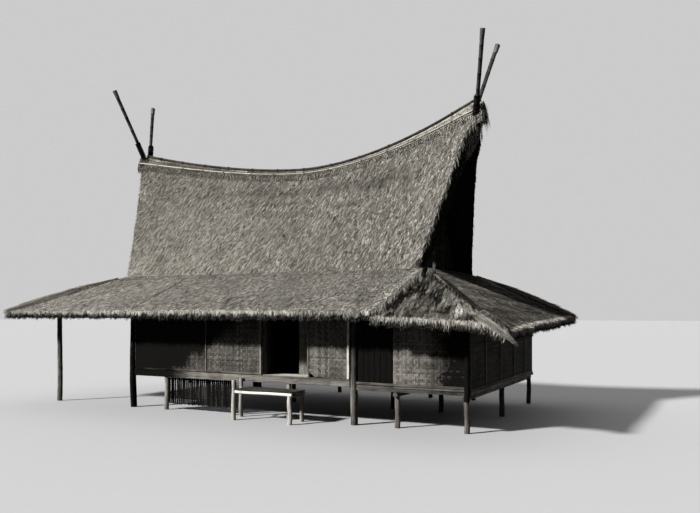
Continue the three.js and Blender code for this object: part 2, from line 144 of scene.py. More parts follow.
def makePiece(name, parts, material, body="house", smooth=False, replaces=()):
    whole = joined(parts)
    points, faces = whole["points"], whole["faces"]
    mesh = bpy.data.meshes.new(name)
    mesh.vertices.add(len(points))
    mesh.vertices.foreach_set("co", points.astype(np.float32).ravel())
    mesh.loops.add(faces.size)
    mesh.loops.foreach_set("vertex_index", faces.astype(np.int32).ravel())
    mesh.polygons.add(len(faces))
    mesh.polygons.foreach_set("loop_start", np.arange(0, faces.size, 3, dtype=np.int32))
    mesh.polygons.foreach_set("use_smooth", np.full(len(faces), smooth))
    mesh.update(calc_edges=True)
    for attribute, kind, key in (("tone", "FLOAT", "value"), ("grain", "FLOAT_VECTOR", "vector")):
        values = whole[attribute].astype(np.float32).ravel()
        mesh.attributes.new(attribute, kind, "POINT").data.foreach_set(key, values)
    mesh.materials.append(material)
    piece = bpy.data.objects.new(name, mesh)
    bpy.context.scene.collection.objects.link(piece)
    if replaces:
        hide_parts(*replaces)
    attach(piece, body)
    return piece


# Shader tools: a node with its settings and inputs, and groups with named sockets

def put(tree, kind, inputs=None, **settings):
    made = tree.nodes.new(kind)
    for key, value in settings.items():
        setattr(made, key, value)
    for key, value in (inputs or {}).items():
        if isinstance(value, bpy.types.NodeSocket):
            tree.links.new(value, made.inputs[key])
        else:
            made.inputs[key].default_value = value
    return made


def compute(tree, operation, a, b=0.0, c=0.0):
    return put(tree, "ShaderNodeMath", {0: a, 1: b, 2: c}, operation=operation).outputs[0]


def choose(tree, factor, first, second):
    return put(tree, "ShaderNodeMix", {0: factor, 2: first, 3: second}).outputs[0]


def smoothRange(tree, value, low, high, outLow=0.0, outHigh=1.0):
    inputs = {"Value": value, "From Min": low, "From Max": high, "To Min": outLow, "To Max": outHigh}
    return put(tree, "ShaderNodeMapRange", inputs, interpolation_type="SMOOTHSTEP").outputs["Result"]


def objectPlace(tree):
    return tree.nodes.new("ShaderNodeTexCoord").outputs["Object"]


def noiseAt(tree, place, scale, detail, roughness=0.5):
    inputs = {"Vector": place, "Scale": scale, "Detail": detail, "Roughness": roughness}
    return put(tree, "ShaderNodeTexNoise", inputs).outputs[0]


def newGroup(name, inputs, outputs):
    group = bpy.data.node_groups.new(name, "ShaderNodeTree")
    for label, value in inputs.items():
        kind = "NodeSocketVector" if isinstance(value, tuple) else "NodeSocketFloat"
        group.interface.new_socket(label, in_out="INPUT", socket_type=kind).default_value = value
    for label in outputs:
        group.interface.new_socket(label, in_out="OUTPUT", socket_type="NodeSocketFloat")
    return group, group.nodes.new("NodeGroupInput").outputs, group.nodes.new("NodeGroupOutput").inputs


def useGroup(tree, group, **inputs):
    return put(tree, "ShaderNodeGroup", inputs, node_tree=group).outputs


def acrossAndDown(tree):
    # distance along a wall or slope, and height, whichever way it faces
    place = put(tree, "ShaderNodeSeparateXYZ", {0: objectPlace(tree)}).outputs
    normal = tree.nodes.new("ShaderNodeNewGeometry").outputs["True Normal"]
    facing = put(tree, "ShaderNodeSeparateXYZ", {0: normal}).outputs
    sideways = compute(tree, "GREATER_THAN", compute(tree, "ABSOLUTE", facing["X"]),
                       compute(tree, "ABSOLUTE", facing["Y"]))
    across = choose(tree, sideways, place["X"], place["Y"])
    outward = choose(tree, sideways, place["Y"], place["X"])
    return across, outward, place["Z"], facing["Z"]


def makeStrawGroup():
    # fallen straws on a slope: Across and Down are how fine they are in both directions
    group, given, out = newGroup("fallenStraw", {"Across": 70.0, "Down": 6.0}, ["Tone", "Height"])
    across, outward, height, _ = acrossAndDown(group)
    down = compute(group, "MULTIPLY_ADD", outward, 0.6, height)
    lean = compute(group, "MULTIPLY_ADD", down, 0.25, across)
    where = put(group, "ShaderNodeCombineXYZ", {
        0: compute(group, "MULTIPLY", lean, given["Across"]),
        1: compute(group, "MULTIPLY", down, given["Down"]),
    }).outputs[0]
    fine, broad = noiseAt(group, where, 1.0, 3.0), noiseAt(group, where, 0.23, 2.0)
    both = compute(group, "MULTIPLY_ADD", fine, 0.6, compute(group, "MULTIPLY", broad, 0.4))
    group.links.new(smoothRange(group, both, 0.3, 0.7), out["Tone"])
    group.links.new(both, out["Height"])
    return group


def makeBlotchGroup():
    group, given, out = newGroup("blotches", {"Scale": 1.0, "Low": 0.45, "High": 0.65}, ["Mask"])
    noise = noiseAt(group, objectPlace(group), given["Scale"], 4.0, 0.6)
    group.links.new(smoothRange(group, noise, given["Low"], given["High"]), out["Mask"])
    return group


def makeSootAndShadeGroup():
    # undersides that face down, and partly the upright end faces: darkened by smoke soot and by painted shade
    group, given, out = newGroup("sootAndShade", {"Start": 0.25, "Full": -0.15}, ["Mask"])
    _, _, _, facingUp = acrossAndDown(group)
    group.links.new(smoothRange(group, facingUp, given["Start"], given["Full"]), out["Mask"])
    return group


def makeGrainGroup():
    # wood fibre: the place comes stretched so that the fibre runs along one of its axes
    group, given, out = newGroup("woodFibre", {"Place": (0.0, 0.0, 0.0), "Cracks": 0.5}, ["Tone", "Height"])
    fine = noiseAt(group, given["Place"], 1.0, 5.0, 0.65)
    broad = noiseAt(group, given["Place"], 0.17, 2.0)
    crack = smoothRange(group, fine, 0.36, 0.44)
    tone = compute(group, "MULTIPLY_ADD", fine, 0.55, compute(group, "MULTIPLY", broad, 0.45))
    cracked = compute(group, "MULTIPLY", given["Cracks"], compute(group, "SUBTRACT", 1.0, crack))
    dark = compute(group, "SUBTRACT", 1.0, cracked)
    group.links.new(compute(group, "MULTIPLY", smoothRange(group, tone, 0.3, 0.7), dark), out["Tone"])
    group.links.new(compute(group, "MULTIPLY", fine, crack), out["Height"])
    return group


def makePlaitGroup():
    # two over, two under: upright and level strips of split bamboo
    group, given, out = newGroup("plait", {"Pitch": 0.045}, ["Tone", "Height"])
    across, _, height, _ = acrossAndDown(group)
    a = compute(group, "DIVIDE", across, given["Pitch"])
    b = compute(group, "DIVIDE", height, given["Pitch"])
    column = compute(group, "FLOOR", a)
    row = compute(group, "FLOOR", b)
    step = compute(group, "FLOORED_MODULO", compute(group, "ADD", column, row), 4.0)
    uprightOver = compute(group, "LESS_THAN", step, 1.5)

    def crown(value):
        part = compute(group, "FRACT", value)
        return compute(group, "MULTIPLY", compute(group, "MULTIPLY", part, 4.0),
                       compute(group, "SUBTRACT", 1.0, part))

    def stripTone(index, shift):
        noise = put(group, "ShaderNodeTexWhiteNoise", {"W": compute(group, "ADD", index, shift)},
                    noise_dimensions="1D")
        return noise.outputs["Value"]

    heightValue = choose(group, uprightOver, crown(b), crown(a))
    toneValue = choose(group, uprightOver, stripTone(row, 0.3), stripTone(column, 91.7))
    shaded = compute(group, "MULTIPLY", toneValue, smoothRange(group, heightValue, 0.0, 0.5))
    group.links.new(shaded, out["Tone"])
    group.links.new(heightValue, out["Height"])
    return group


strawGroup = makeStrawGroup()
blotchGroup = makeBlotchGroup()
sootAndShadeGroup = makeSootAndShadeGroup()
grainGroup = makeGrainGroup()
plaitGroup = makePlaitGroup()


# Materials

drySheen = 0.02  # straw, bamboo and old wood hardly shine


def newMaterial(name, roughness, sheen=drySheen):
    material = bpy.data.materials.new(name)
    material.use_nodes = True
    tree = material.node_tree
    shader = tree.nodes["Principled BSDF"]
    shader.inputs["Roughness"].default_value = roughness
    shader.inputs["Specular IOR Level"].default_value = sheen
    return material, tree, shader


def toneRamp(tree, value, stops):
    ramp = put(tree, "ShaderNodeValToRGB", {0: value})
    elements = ramp.color_ramp.elements
    while len(elements) < len(stops):
        elements.new(0.5)
    for element, (position, colour) in zip(elements, stops):
        element.position = position
        element.color = (*colour, 1.0)
    return ramp.outputs["Color"]


def darken(tree, colour, mask, dark):
    return put(tree, "ShaderNodeMix", {0: mask, 6: colour, 7: (*dark, 1.0)}, data_type="RGBA").outputs[2]


def addBump(tree, shader, height, strength, distance):
    bump = put(tree, "ShaderNodeBump", {"Height": height, "Strength": strength, "Distance": distance})
    tree.links.new(bump.outputs["Normal"], shader.inputs["Normal"])


def readAttribute(tree, name):
    return put(tree, "ShaderNodeAttribute", attribute_name=name, attribute_type="GEOMETRY").outputs


def patchyTone(tree, value, plan, ownTone=None):
    # the pattern's tone around the material's base tone, darker in patches
    low, high = plan["patchRange"]
    patches = useGroup(tree, blotchGroup, Scale=plan["patchScale"], Low=low, High=high)["Mask"]
    tone = compute(tree, "MULTIPLY_ADD", value, plan["spread"], plan["base"])
    if ownTone is not None:
        tone = compute(tree, "ADD", tone, compute(tree, "SUBTRACT", ownTone, 0.5))
    return compute(tree, "MULTIPLY_ADD", patches, -plan["patches"], tone)


strawColours = [
    (0.0, (0.006, 0.0055, 0.005)),
    (0.3, (0.085, 0.079, 0.068)),
    (0.55, (0.215, 0.202, 0.178)),
    (0.8, (0.39, 0.37, 0.33)),
    (1.0, (0.62, 0.595, 0.54)),
]
woodColours = [
    (0.0, (0.004, 0.0037, 0.0034)),
    (0.3, (0.060, 0.055, 0.048)),
    (0.6, (0.200, 0.188, 0.165)),
    (0.85, (0.420, 0.400, 0.360)),
    (1.0, (0.640, 0.620, 0.570)),
]
sootAndShadeColour = (0.012, 0.011, 0.010)

bedPlan = {"patchRange": (0.42, 0.68), "patches": 0.08, "spread": 0.3, "roughness": 0.95}
bladeFinish = {"noiseScale": 55.0, "noiseChange": 0.3, "roughness": (0.75, 0.95)}
woodPlan = {
    "stretch": (60.0, 60.0, 3.0),  # how much finer the fibre is across than along
    "cracks": 0.6,
    "spread": 0.3,
    "patchScale": 3.0,
    "patchRange": (0.4, 0.7),
    "patches": 0.12,
    "roughness": 0.78,
    "bump": 0.6,
    "ownGrain": True,  # off for plain solids, whose points carry no fibre direction
}
plaitPlan = {"patchScale": 1.3, "patchRange": (0.4, 0.7), "patches": 0.12}


def makeThatchBed(name, **changes):
    plan = dict(bedPlan, **changes)
    material, tree, shader = newMaterial(name, plan["roughness"])
    straw = useGroup(tree, strawGroup, Across=plan["across"], Down=plan["down"])
    colour = toneRamp(tree, patchyTone(tree, straw["Tone"], plan), strawColours)
    # darker where the thatch faces down: smoke soot and painted shade
    sootAndShade = useGroup(tree, sootAndShadeGroup)["Mask"]
    tree.links.new(darken(tree, colour, sootAndShade, sootAndShadeColour), shader.inputs["Base Color"])
    addBump(tree, shader, straw["Height"], 0.9, 0.03)
    return material


def makeBladeMaterial(name):
    # straw blades carry their own tone; fine noise breaks it up along each blade
    material, tree, shader = newMaterial(name, 0.85)
    noise = noiseAt(tree, objectPlace(tree), bladeFinish["noiseScale"], 2.0)
    change = bladeFinish["noiseChange"]
    speckle = compute(tree, "MULTIPLY_ADD", noise, change, -change / 2)
    tone = compute(tree, "ADD", readAttribute(tree, "tone")["Fac"], speckle)
    tree.links.new(toneRamp(tree, tone, strawColours), shader.inputs["Base Color"])
    rough = smoothRange(tree, noise, 0.3, 0.7, *bladeFinish["roughness"])
    tree.links.new(rough, shader.inputs["Roughness"])
    return material


def makeWoodMaterial(name, **changes):
    plan = dict(woodPlan, **changes)
    material, tree, shader = newMaterial(name, plan["roughness"])
    if plan["ownGrain"]:
        place = readAttribute(tree, "grain")["Vector"]
        ownTone = readAttribute(tree, "tone")["Fac"]
    else:
        place = objectPlace(tree)
        ownTone = None
    stretched = put(tree, "ShaderNodeVectorMath", {0: place, 1: plan["stretch"]}, operation="MULTIPLY")
    fibre = useGroup(tree, grainGroup, Place=stretched.outputs[0], Cracks=plan["cracks"])
    tone = patchyTone(tree, fibre["Tone"], plan, ownTone)
    tree.links.new(toneRamp(tree, tone, woodColours), shader.inputs["Base Color"])
    rough = smoothRange(tree, fibre["Tone"], 0.0, 1.0, plan["roughness"] + 0.12, plan["roughness"] - 0.08)
    tree.links.new(rough, shader.inputs["Roughness"])
    addBump(tree, shader, fibre["Height"], plan["bump"], 0.006)
    return material


def makePlaitMaterial(name, **changes):
    plan = dict(plaitPlan, **changes)
    material, tree, shader = newMaterial(name, 0.8)
    plait = useGroup(tree, plaitGroup, Pitch=plan["pitch"])
    tone = patchyTone(tree, plait["Tone"], plan)
    tree.links.new(toneRamp(tree, tone, woodColours), shader.inputs["Base Color"])
    addBump(tree, shader, plait["Height"], 0.8, 0.012)
    return material


logStretch = (55.0, 55.0, 2.2)

thatchBed = makeThatchBed("thatch_bed", across=75.0, down=5.0, patchScale=0.9, base=0.1)
ridgeBed = makeThatchBed("ridge_bed", across=90.0, down=7.0, patchScale=1.2, base=0.25)
strawBlades = makeBladeMaterial("straw_blades")
plaitStrips = makeWoodMaterial("plait_strips", base=0.40, stretch=(120.0, 120.0, 6.0), cracks=0.35,
                               spread=0.22, roughness=0.7, bump=0.4, patchScale=1.6)
wallBed = makePlaitMaterial("wall_bed", pitch=0.045, spread=0.3, base=0.12)
# near black: painted shade in the deep gable
gablePlait = makePlaitMaterial("gable_plait", pitch=0.07, spread=0.2, base=0.04)
logWood = makeWoodMaterial("log_wood", base=0.26, stretch=logStretch, cracks=0.8, bump=0.9)
paleLog = makeWoodMaterial("pale_log", base=0.46, stretch=logStretch, cracks=0.85, bump=0.9)
# near black: painted shade for the corner posts
paintedShadeLog = makeWoodMaterial("painted_shade_log", base=0.08, stretch=logStretch, cracks=0.8, bump=0.9, spread=0.2)
bambooSkin = makeWoodMaterial("bamboo_skin", base=0.34, stretch=(90.0, 90.0, 2.5), cracks=0.3,
                              roughness=0.58, bump=0.3)
darkBoards = makeWoodMaterial("dark_boards", base=0.13, stretch=(45.0, 45.0, 2.0), cracks=0.8, bump=0.8)
ropeFibre = makeWoodMaterial("rope_fibre", base=0.3, stretch=(200.0, 200.0, 30.0), cracks=0.4, bump=0.7)
beamWood = makeWoodMaterial("beam_wood", base=0.16, ownGrain=False, stretch=(2.5, 40.0, 40.0), cracks=0.7)
crossBeamWood = makeWoodMaterial("cross_beam_wood", base=0.16, ownGrain=False, stretch=(40.0, 2.5, 40.0),
                                 cracks=0.7)
sillWood = makeWoodMaterial("sill_wood", base=0.34, ownGrain=False, stretch=(2.2, 45.0, 55.0), cracks=0.7,
                            bump=0.8)
print("materials ready")

# finishes by the start of a node's name; the rest is beam wood
cadFinish = {
    "upper_roof": thatchBed, "lower_roof": thatchBed, "ridge_cap": ridgeBed, "gable": gablePlait,
    "front_wall": wallBed, "front_panel": wallBed, "recess_side": wallBed, "front_sill": sillWood,
    "annex_bearer": crossBeamWood,
}


def finishOf(name):
    if name.endswith("_wall"):
        return wallBed
    for start, material in cadFinish.items():
        if name.startswith(start):
            return material
    return beamWood


def finishCadNodes():
    for name, shape in cadNodes.items():
        if not shape.material_slots:
            shape.data.materials.append(finishOf(name))
        for holder in shape.material_slots:
            holder.material = finishOf(name)


finishCadNodes()


# Reading the CAD surfaces

def trianglesOf(name, keep):
    # corners, normals and areas of the node's triangles that keep() accepts, in a fixed order
    mesh = cadNodes[name].data
    mesh.calc_loop_triangles()
    corners = np.empty(len(mesh.vertices) * 3, np.float32)
    mesh.vertices.foreach_get("co", corners)
    corners = corners.reshape(-1, 3).astype(float)
    index = np.empty(len(mesh.loop_triangles) * 3, np.int32)
    mesh.loop_triangles.foreach_get("vertices", index)
    a, b, c = (corners[index.reshape(-1, 3)[:, k]] for k in range(3))
    cross = np.cross(b - a, c - a)
    area = np.linalg.norm(cross, axis=1) / 2
    normal = unit(cross)
    kept = keep(normal, (a + b + c) / 3) & (area > 1e-7)
    order = np.lexsort(np.round((a + b + c)[kept], 4).T)
    return [values[kept][order] for values in (a, b, c, normal, area)]


def scatter(triangles, perSquareMetre, rng):
    a, b, c, normal, area = triangles
    count = int(area.sum() * perSquareMetre)
    pick = rng.choice(len(area), count, p=area / area.sum())
    s, t = rng.random(count), rng.random(count)
    over = s + t > 1
    s[over], t[over] = 1 - s[over], 1 - t[over]
    points = a[pick] + (b - a)[pick] * s[:, None] + (c - a)[pick] * t[:, None]
    return points, normal[pick]


def downhill(normals):
    down = np.array([0.0, 0.0, -1.0])
    return unit(down - normals * (normals @ down)[:, None])


def depthBelowTop(name, place):
    # how deep a place lies under the node's top surface
    start = Vector((place[0], place[1], 9.0))
    hit, top, _, _ = cadNodes[name].ray_cast(start, Vector((0, 0, -1)))
    return top.z - place[2] if hit else 0.0


# Blades of straw: a folded blade has a root, a crest and a tip; a drooping one has one bend more

bladePlan = {
    "sink": 0.006,  # how deep the roots lie in the thatch
    "fold": 0.35,  # height of the crest as a share of the width
    "crestAt": 0.2,
    # tone changes along each blade: roots darker as painted shade under the other blades, tips lighter as
    # painted light
    "foldedShadeAndLight": (-0.16, -0.16, 0.0, 0.1),
    "bendAt": 0.55,
    "beyondBend": 0.45,
    "bendLift": 0.8,
    "bendWidth": 0.8,
    "droop": 0.7,
    "droopingShadeAndLight": (-0.2, -0.2, -0.05, 0.0, 0.0, 0.05, 0.08),
}
foldedFaces = np.array([[0, 2, 3], [2, 1, 3]])
droopingFaces = np.array([[0, 5, 3], [0, 2, 5], [2, 4, 5], [2, 1, 4], [3, 5, 6], [5, 4, 6]])


def strawBladesPart(roots, along, outward, lengths, widths, lifts, tones, droop=None, fold=bladePlan["fold"]):
    across = unit(np.cross(along, outward))
    half = across * (widths / 2)[:, None]
    rise = outward * (widths * fold)[:, None]
    sink = outward * -bladePlan["sink"]
    if droop is None:
        tips = roots + along * lengths[:, None] + outward * lifts[:, None]
        crest = roots + along * (lengths * bladePlan["crestAt"])[:, None] + rise
        points = np.stack([roots - half + sink, roots + half + sink, crest, tips], axis=1)
        pattern, shades = foldedFaces, bladePlan["foldedShadeAndLight"]
    else:
        bend = roots + along * (lengths * bladePlan["bendAt"])[:, None]
        bend = bend + outward * (lifts * bladePlan["bendLift"])[:, None]
        below = unit(mix(along, droop, bladePlan["droop"]))
        tips = bend + below * (lengths * bladePlan["beyondBend"])[:, None]
        narrow = half * bladePlan["bendWidth"]
        points = np.stack([roots - half + sink, roots + half + sink, roots + rise + along * 0.01,
                           bend - narrow, bend + narrow, bend + rise, tips], axis=1)
        pattern, shades = droopingFaces, bladePlan["droopingShadeAndLight"]
    starts = np.arange(len(roots)) * points.shape[1]
    faces = (pattern[None] + starts[:, None, None]).reshape(-1, 3)
    tone = (tones[:, None] + np.array(shades)[None]).reshape(-1)
    flat = points.reshape(-1, 3)
    return {"points": flat, "faces": faces, "tone": tone, "grain": flat}


thatchPlan = {
    "bladesPerSquareMetre": 1500,
    "length": (0.055, 0.12),
    "shortest": 0.05,
    "width": (0.011, 0.024),
    "lift": (0.004, 0.020),
    "fold": bladePlan["fold"],
    "leanSpread": 0.16,
    "clumpLeanSpread": 0.26,
    "clumpWidth": 0.042,
    "clumpLength": 0.092,
    "clumpPull": 0.45,
    "clumpLift": 0.036,
    "clumpTone": 0.11,
    "darkClumps": 0.045,  # share of the tufts that have rotted dark
    "darkClumpTone": 0.35,
    "patchTone": 0.04,
    "tone": 0.685,
    "toneSpread": 0.09,
    "lightest": 0.92,
}

# the aprons lie flatter to the light, so their blades are flatter too
apronThatch = dict(thatchPlan, fold=0.22, clumpTone=0.09, tone=0.625)

# the sunken corner piece has lost its top layer: longer, rougher tufts
cornerThatch = dict(thatchPlan, length=(0.12, 0.26), width=(0.010, 0.022), leanSpread=0.10,
                    clumpLeanSpread=0.14, clumpWidth=0.075, clumpLength=0.24, clumpLift=0.05, clumpTone=0.10,
                    darkClumps=0.04)

# the ridge cap is combed smooth
capThatch = dict(thatchPlan, length=(0.08, 0.16), width=(0.007, 0.015), lift=(0.001, 0.005), leanSpread=0.08,
                 clumpWidth=0.05, clumpLift=0.006, clumpTone=0.06, clumpPull=0.2, tone=0.68)

evenSpread = 3.4  # makes an even random number around 0 vary by about 1


def scramble(a, b, seed):
    # an even random number from 0 to 1 for each pair of whole numbers
    value = np.sin(a * 127.1 + b * 311.7 + seed * 74.7) * 43758.5453
    return value - np.floor(value)


def clumpsOf(roots, across, along, plan, seed):
    # tufts in staggered columns: place in the tuft, way to its middle, and its own random numbers
    u = roots @ unit(across.mean(axis=0))
    w = roots @ unit(along.mean(axis=0))
    column = np.floor(u / plan["clumpWidth"])
    w = w / plan["clumpLength"] + scramble(column, 0, seed)
    row = np.floor(w)
    middle = (column + 0.25 + 0.5 * scramble(column, row, seed + 1)) * plan["clumpWidth"]
    chances = [scramble(column, row, seed + extra) for extra in (2, 3, 4)]
    return w - row, middle - u, chances


def facesUp(normal, centre):
    return normal[:, 2] > 0.25


def layThatch(name, density, edgeDistance, tint, seed, lean, plan):
    # blades lie down the slope of the node's upper faces, gathered in tufts;
    # lean: how far they turn on the way down, in radians, at the left and at the right end
    rng = np.random.default_rng(seed)
    roots, normals = scatter(trianglesOf(name, facesUp), plan["bladesPerSquareMetre"] * density, rng)
    count = len(roots)
    fall = downhill(normals)
    across = unit(np.cross(normals, fall))
    middleLean = (lean[0] + lean[1]) / 2
    leaning = unit(fall * math.cos(middleLean) + across * math.sin(middleLean))
    way, toMiddle, chances = clumpsOf(roots, unit(np.cross(normals, leaning)), leaning, plan, seed)
    angle = mix(lean[0], lean[1], fade(roots[:, 0], -4.5, 4.5)) + rng.normal(0, plan["leanSpread"], count)
    angle += (chances[0] - 0.5) * evenSpread * plan["clumpLeanSpread"]
    along = unit(fall * np.cos(angle)[:, None] + across * np.sin(angle)[:, None])
    sideStep = unit(np.cross(normals, along))
    roots = roots + sideStep * (toMiddle * plan["clumpPull"] * (0.5 + way))[:, None]
    distance = edgeDistance(roots, fall)
    lengths = np.minimum(rng.uniform(*plan["length"], count), distance + rng.uniform(0.0, 0.06, count))
    lengths = np.maximum(lengths, plan["shortest"])
    widths = rng.uniform(*plan["width"], count)
    lifts = rng.uniform(*plan["lift"], count) + plan["clumpLift"] * way * chances[1]
    lifts *= np.clip(lengths / 0.15, 0.3, 1)  # short blades lie flatter
    tones = plan["tone"] + rng.normal(0, plan["toneSpread"], count)
    tones += (chances[2] - 0.5) * evenSpread * plan["clumpTone"]
    tones -= plan["darkClumpTone"] * (chances[1] < plan["darkClumps"])
    for size, extra in ((2.6, 1), (0.7, 2)):
        tones += plan["patchTone"] * softNoise(roots, size, seed + extra)
    tones = np.clip(tones + tint(roots, distance), 0.0, plan["lightest"])
    return strawBladesPart(roots, along, normals, lengths, widths, lifts, tones, fold=plan["fold"])


# Half the roof's length and width: at the eaves, and where the aprons meet the steep slopes

eaveHalf = (6.98, 3.62)
kinkHalf = (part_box("lower_roof_front")[1].x + 0.12, -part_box("upper_roof_front")[0].y)


def wayToEdge(roots, fall, axis, edge):
    # distance down the slope to the edge, which lies at this half size
    return np.maximum((edge - np.abs(roots[:, axis])) / np.maximum(np.abs(fall[:, axis]), 0.05), 0)


def toSteepEdge(roots, fall):
    return wayToEdge(roots, fall, 1, kinkHalf[1] + 0.07)


def toEndEave(roots, fall):
    return wayToEdge(roots, fall, 0, eaveHalf[0])


def toSideEave(roots, fall):
    return wayToEdge(roots, fall, 1, eaveHalf[1])


def upApron(places, axis, inset=0.0):
    # share of the way from the eave up to the kink
    return (eaveHalf[axis] - inset - np.abs(places[:, axis])) / (eaveHalf[axis] - kinkHalf[axis])


# Marks on the front slopes, darker or lighter places as seen from the front

def mark(x, z, halfX, halfZ, change, turn=0.0):
    return {"at": (x, z), "half": (halfX, halfZ), "change": change, "turn": turn}


slopeMarks = [
    mark(2.9, 5.85, 0.55, 0.16, -0.2, turn=0.2),
    mark(1.9, 5.80, 0.9, 0.14, -0.13, turn=0.1),
    mark(0.2, 5.78, 1.2, 0.14, -0.12),
    mark(-2.2, 5.95, 1.6, 0.2, -0.07),
    mark(2.12, 5.27, 0.42, 0.035, -0.3, turn=0.06),
    mark(0.2, 5.45, 0.62, 0.04, -0.2),
    mark(1.84, 4.9, 0.06, 0.06, -0.45),
    mark(1.62, 5.05, 0.05, 0.1, -0.35, turn=0.6),
    mark(3.9, 4.7, 0.7, 1.1, 0.07),
    mark(4.46, 3.60, 0.14, 0.12, -0.5),
]
apronMarks = [
    # the first mark paints the shadow in a crease down the apron
    mark(-2.31, 3.02, 0.045, 0.42, -0.42, turn=-0.39),
    mark(0.21, 2.80, 0.05, 0.09, -0.35, turn=-0.4),
    mark(2.09, 2.66, 0.05, 0.09, -0.35, turn=-0.4),
    mark(-1.2, 3.25, 1.3, 0.14, -0.05),
    mark(3.6, 2.95, 0.07, 0.4, -0.14, turn=0.3),
]
looksUpright = 0.64  # turn of a mark that looks upright from the camera
# the corner's marks paint the shade in its hollows and the light on its bundles
cornerMarks = [  # dark hollows first, then lighter bundles
    mark(4.66, 3.00, 0.07, 0.30, -0.50, turn=-0.66),
    mark(4.50, 2.64, 0.09, 0.08, -0.45),
    mark(4.86, 2.97, 0.07, 0.13, -0.42, looksUpright),
    mark(5.20, 2.87, 0.08, 0.16, -0.42, looksUpright),
    mark(5.66, 2.59, 0.08, 0.05, -0.45),
    mark(5.46, 2.53, 0.46, 0.018, -0.30, turn=-0.11),
    mark(4.55, 2.91, 0.09, 0.09, -0.30),
    mark(6.22, 2.41, 0.10, 0.05, -0.40),
    mark(4.74, 2.90, 0.06, 0.09, 0.22, looksUpright),
    mark(5.00, 2.97, 0.05, 0.09, 0.28, looksUpright),
    mark(5.10, 2.83, 0.03, 0.10, 0.16, looksUpright),
    mark(5.46, 2.82, 0.09, 0.12, 0.22, looksUpright),
    mark(5.88, 2.57, 0.10, 0.16, 0.26, looksUpright),
]


def markTone(roots, marks):
    total = np.zeros(len(roots))
    for place in marks:
        dx, dz = roots[:, 0] - place["at"][0], roots[:, 2] - place["at"][1]
        c, s = math.cos(place["turn"]), math.sin(place["turn"])
        far = ((dx * c + dz * s) / place["half"][0]) ** 2 + ((dz * c - dx * s) / place["half"][1]) ** 2
        total += place["change"] * np.exp(-far)
    return total


# Changes of tone over the slopes: how much here, where in the functions below
tints = {
    "underRidge": -0.04, "paintedLightLeft": 0.17, "dullRight": 0.03,
    "apron": 0.045, "apronEdgeHighlight": 0.12, "underKink": -0.08, "besideCorner": 0.16,
    "cornerStrip": 0.2, "cornerCreviceShadow": -0.5, "corner": -0.33, "cornerUp": 0.10, "cornerTop": 0.25,
    "cornerMarks": 1.6,
    "right": -0.43, "rightCourses": 0.10, "rightCreviceShadow": -0.8, "rightEnd": -0.12,
    "capLeft": 0.14, "capRight": 0.26, "capDarkBelowHorns": 0.5, "capPatches": 0.05,
}


def steepTint(roots, distance):
    # darker under the ridge; lighter towards the left, which is painted light, and a little darker towards
    # the right
    x = roots[:, 0]
    patches = 1 + 0.8 * softNoise(roots * [1, 1, 2.5], 0.9, 5)
    underRidge = tints["underRidge"] * fade(distance, 2.1, 2.9) * patches
    lengthwiseTone = tints["paintedLightLeft"] * (1 - fade(x, -3.5, 3.0)) - tints["dullRight"] * fade(x, 2.0, 4.0)
    front = roots[:, 1] < 0
    return underRidge + np.where(front, lengthwiseTone + markTone(roots, slopeMarks), 0)


def apronTint(roots, distance):
    # lighter near the eave: a painted highlight along its edge; darker just below the kink
    bright = tints["apronEdgeHighlight"] * (1 - fade(distance, 0.08, 0.30))
    kinkShade = tints["underKink"] * fade(distance, 1.9, 2.2)
    front = roots[:, 1] < -1.5
    return tints["apron"] + bright + kinkShade + np.where(front, markTone(roots, apronMarks), 0)


def mainApronTint(roots, distance):
    # a lighter band along the end where the corner piece starts lower
    toEdge = mix(4.2, 4.54, upApron(roots, 1)) - roots[:, 0]
    return apronTint(roots, distance) + tints["besideCorner"] * (1 - fade(toEdge, 0.05, 0.3))


def cornerTint(roots, distance):
    # darker all over and most towards the kink: painted shade of the sunken piece; a light strip beside the
    # hip and a painted shadow in the crevice on it
    v = upApron(roots, 1)
    fromHip = mix(eaveHalf[0], kinkHalf[0], v) - roots[:, 0]
    strip = tints["cornerStrip"] * fade(fromHip, 0.05, 0.1) * (1 - fade(fromHip, 0.16, 0.24))
    strip *= fade(v, 0.4, 0.5)
    dark = tints["cornerCreviceShadow"] * (1 - fade(fromHip, 0.0, 0.1)) * fade(v, 0.26, 0.34)
    shade = tints["corner"] - tints["cornerUp"] * fade(v, 0.3, 0.6) - tints["cornerTop"] * fade(v, 0.8, 1.0)
    marks = tints["cornerMarks"] * markTone(roots, cornerMarks)
    return apronTint(roots, distance) + strip + dark + shade + marks


def rightTint(roots, distance):
    # darker all over and more towards the far end: painted shade of the gable; in uneven courses, with a
    # painted shadow in the crevice on the front hip
    course = tints["rightCourses"] * softNoise(roots * [2.2, 0.35, 2.2], 0.8, 19)
    v = upApron(roots, 0)
    fromHip = roots[:, 1] + mix(eaveHalf[1], kinkHalf[1], v)
    dark = tints["rightCreviceShadow"] * (1 - fade(fromHip, 0.10, 0.30)) * fade(v, 0.26, 0.34)
    dark *= 1 - fade(v, 0.72, 0.85)
    aside = tints["rightEnd"] * fade(roots[:, 0], 5.0, 6.6)
    return apronTint(roots, distance) + tints["right"] + course + dark + aside


lipPlan = {
    "density": {"front": 2800, "corner": 3200, "right": 1600, "left": 1400, "back": 1200},
    "reach": 0.12,
    "over": (0.05, 0.125),
    "width": (0.010, 0.024),
    "lift": (0.006, 0.024),
    "scatter": 0.12,
    "tone": 0.74,
    "toneSpread": 0.17,
    "patchTone": 0.09,
    # darker on the corner and on the right: painted shade
    "darker": {"corner": 0.10, "right": 0.30},
    "dimStretch": (2.3, 2.6, 3.95, 4.2),  # the eave is duller over the doorway
    "dimTone": 0.2,
    "lightest": 1.1,
}


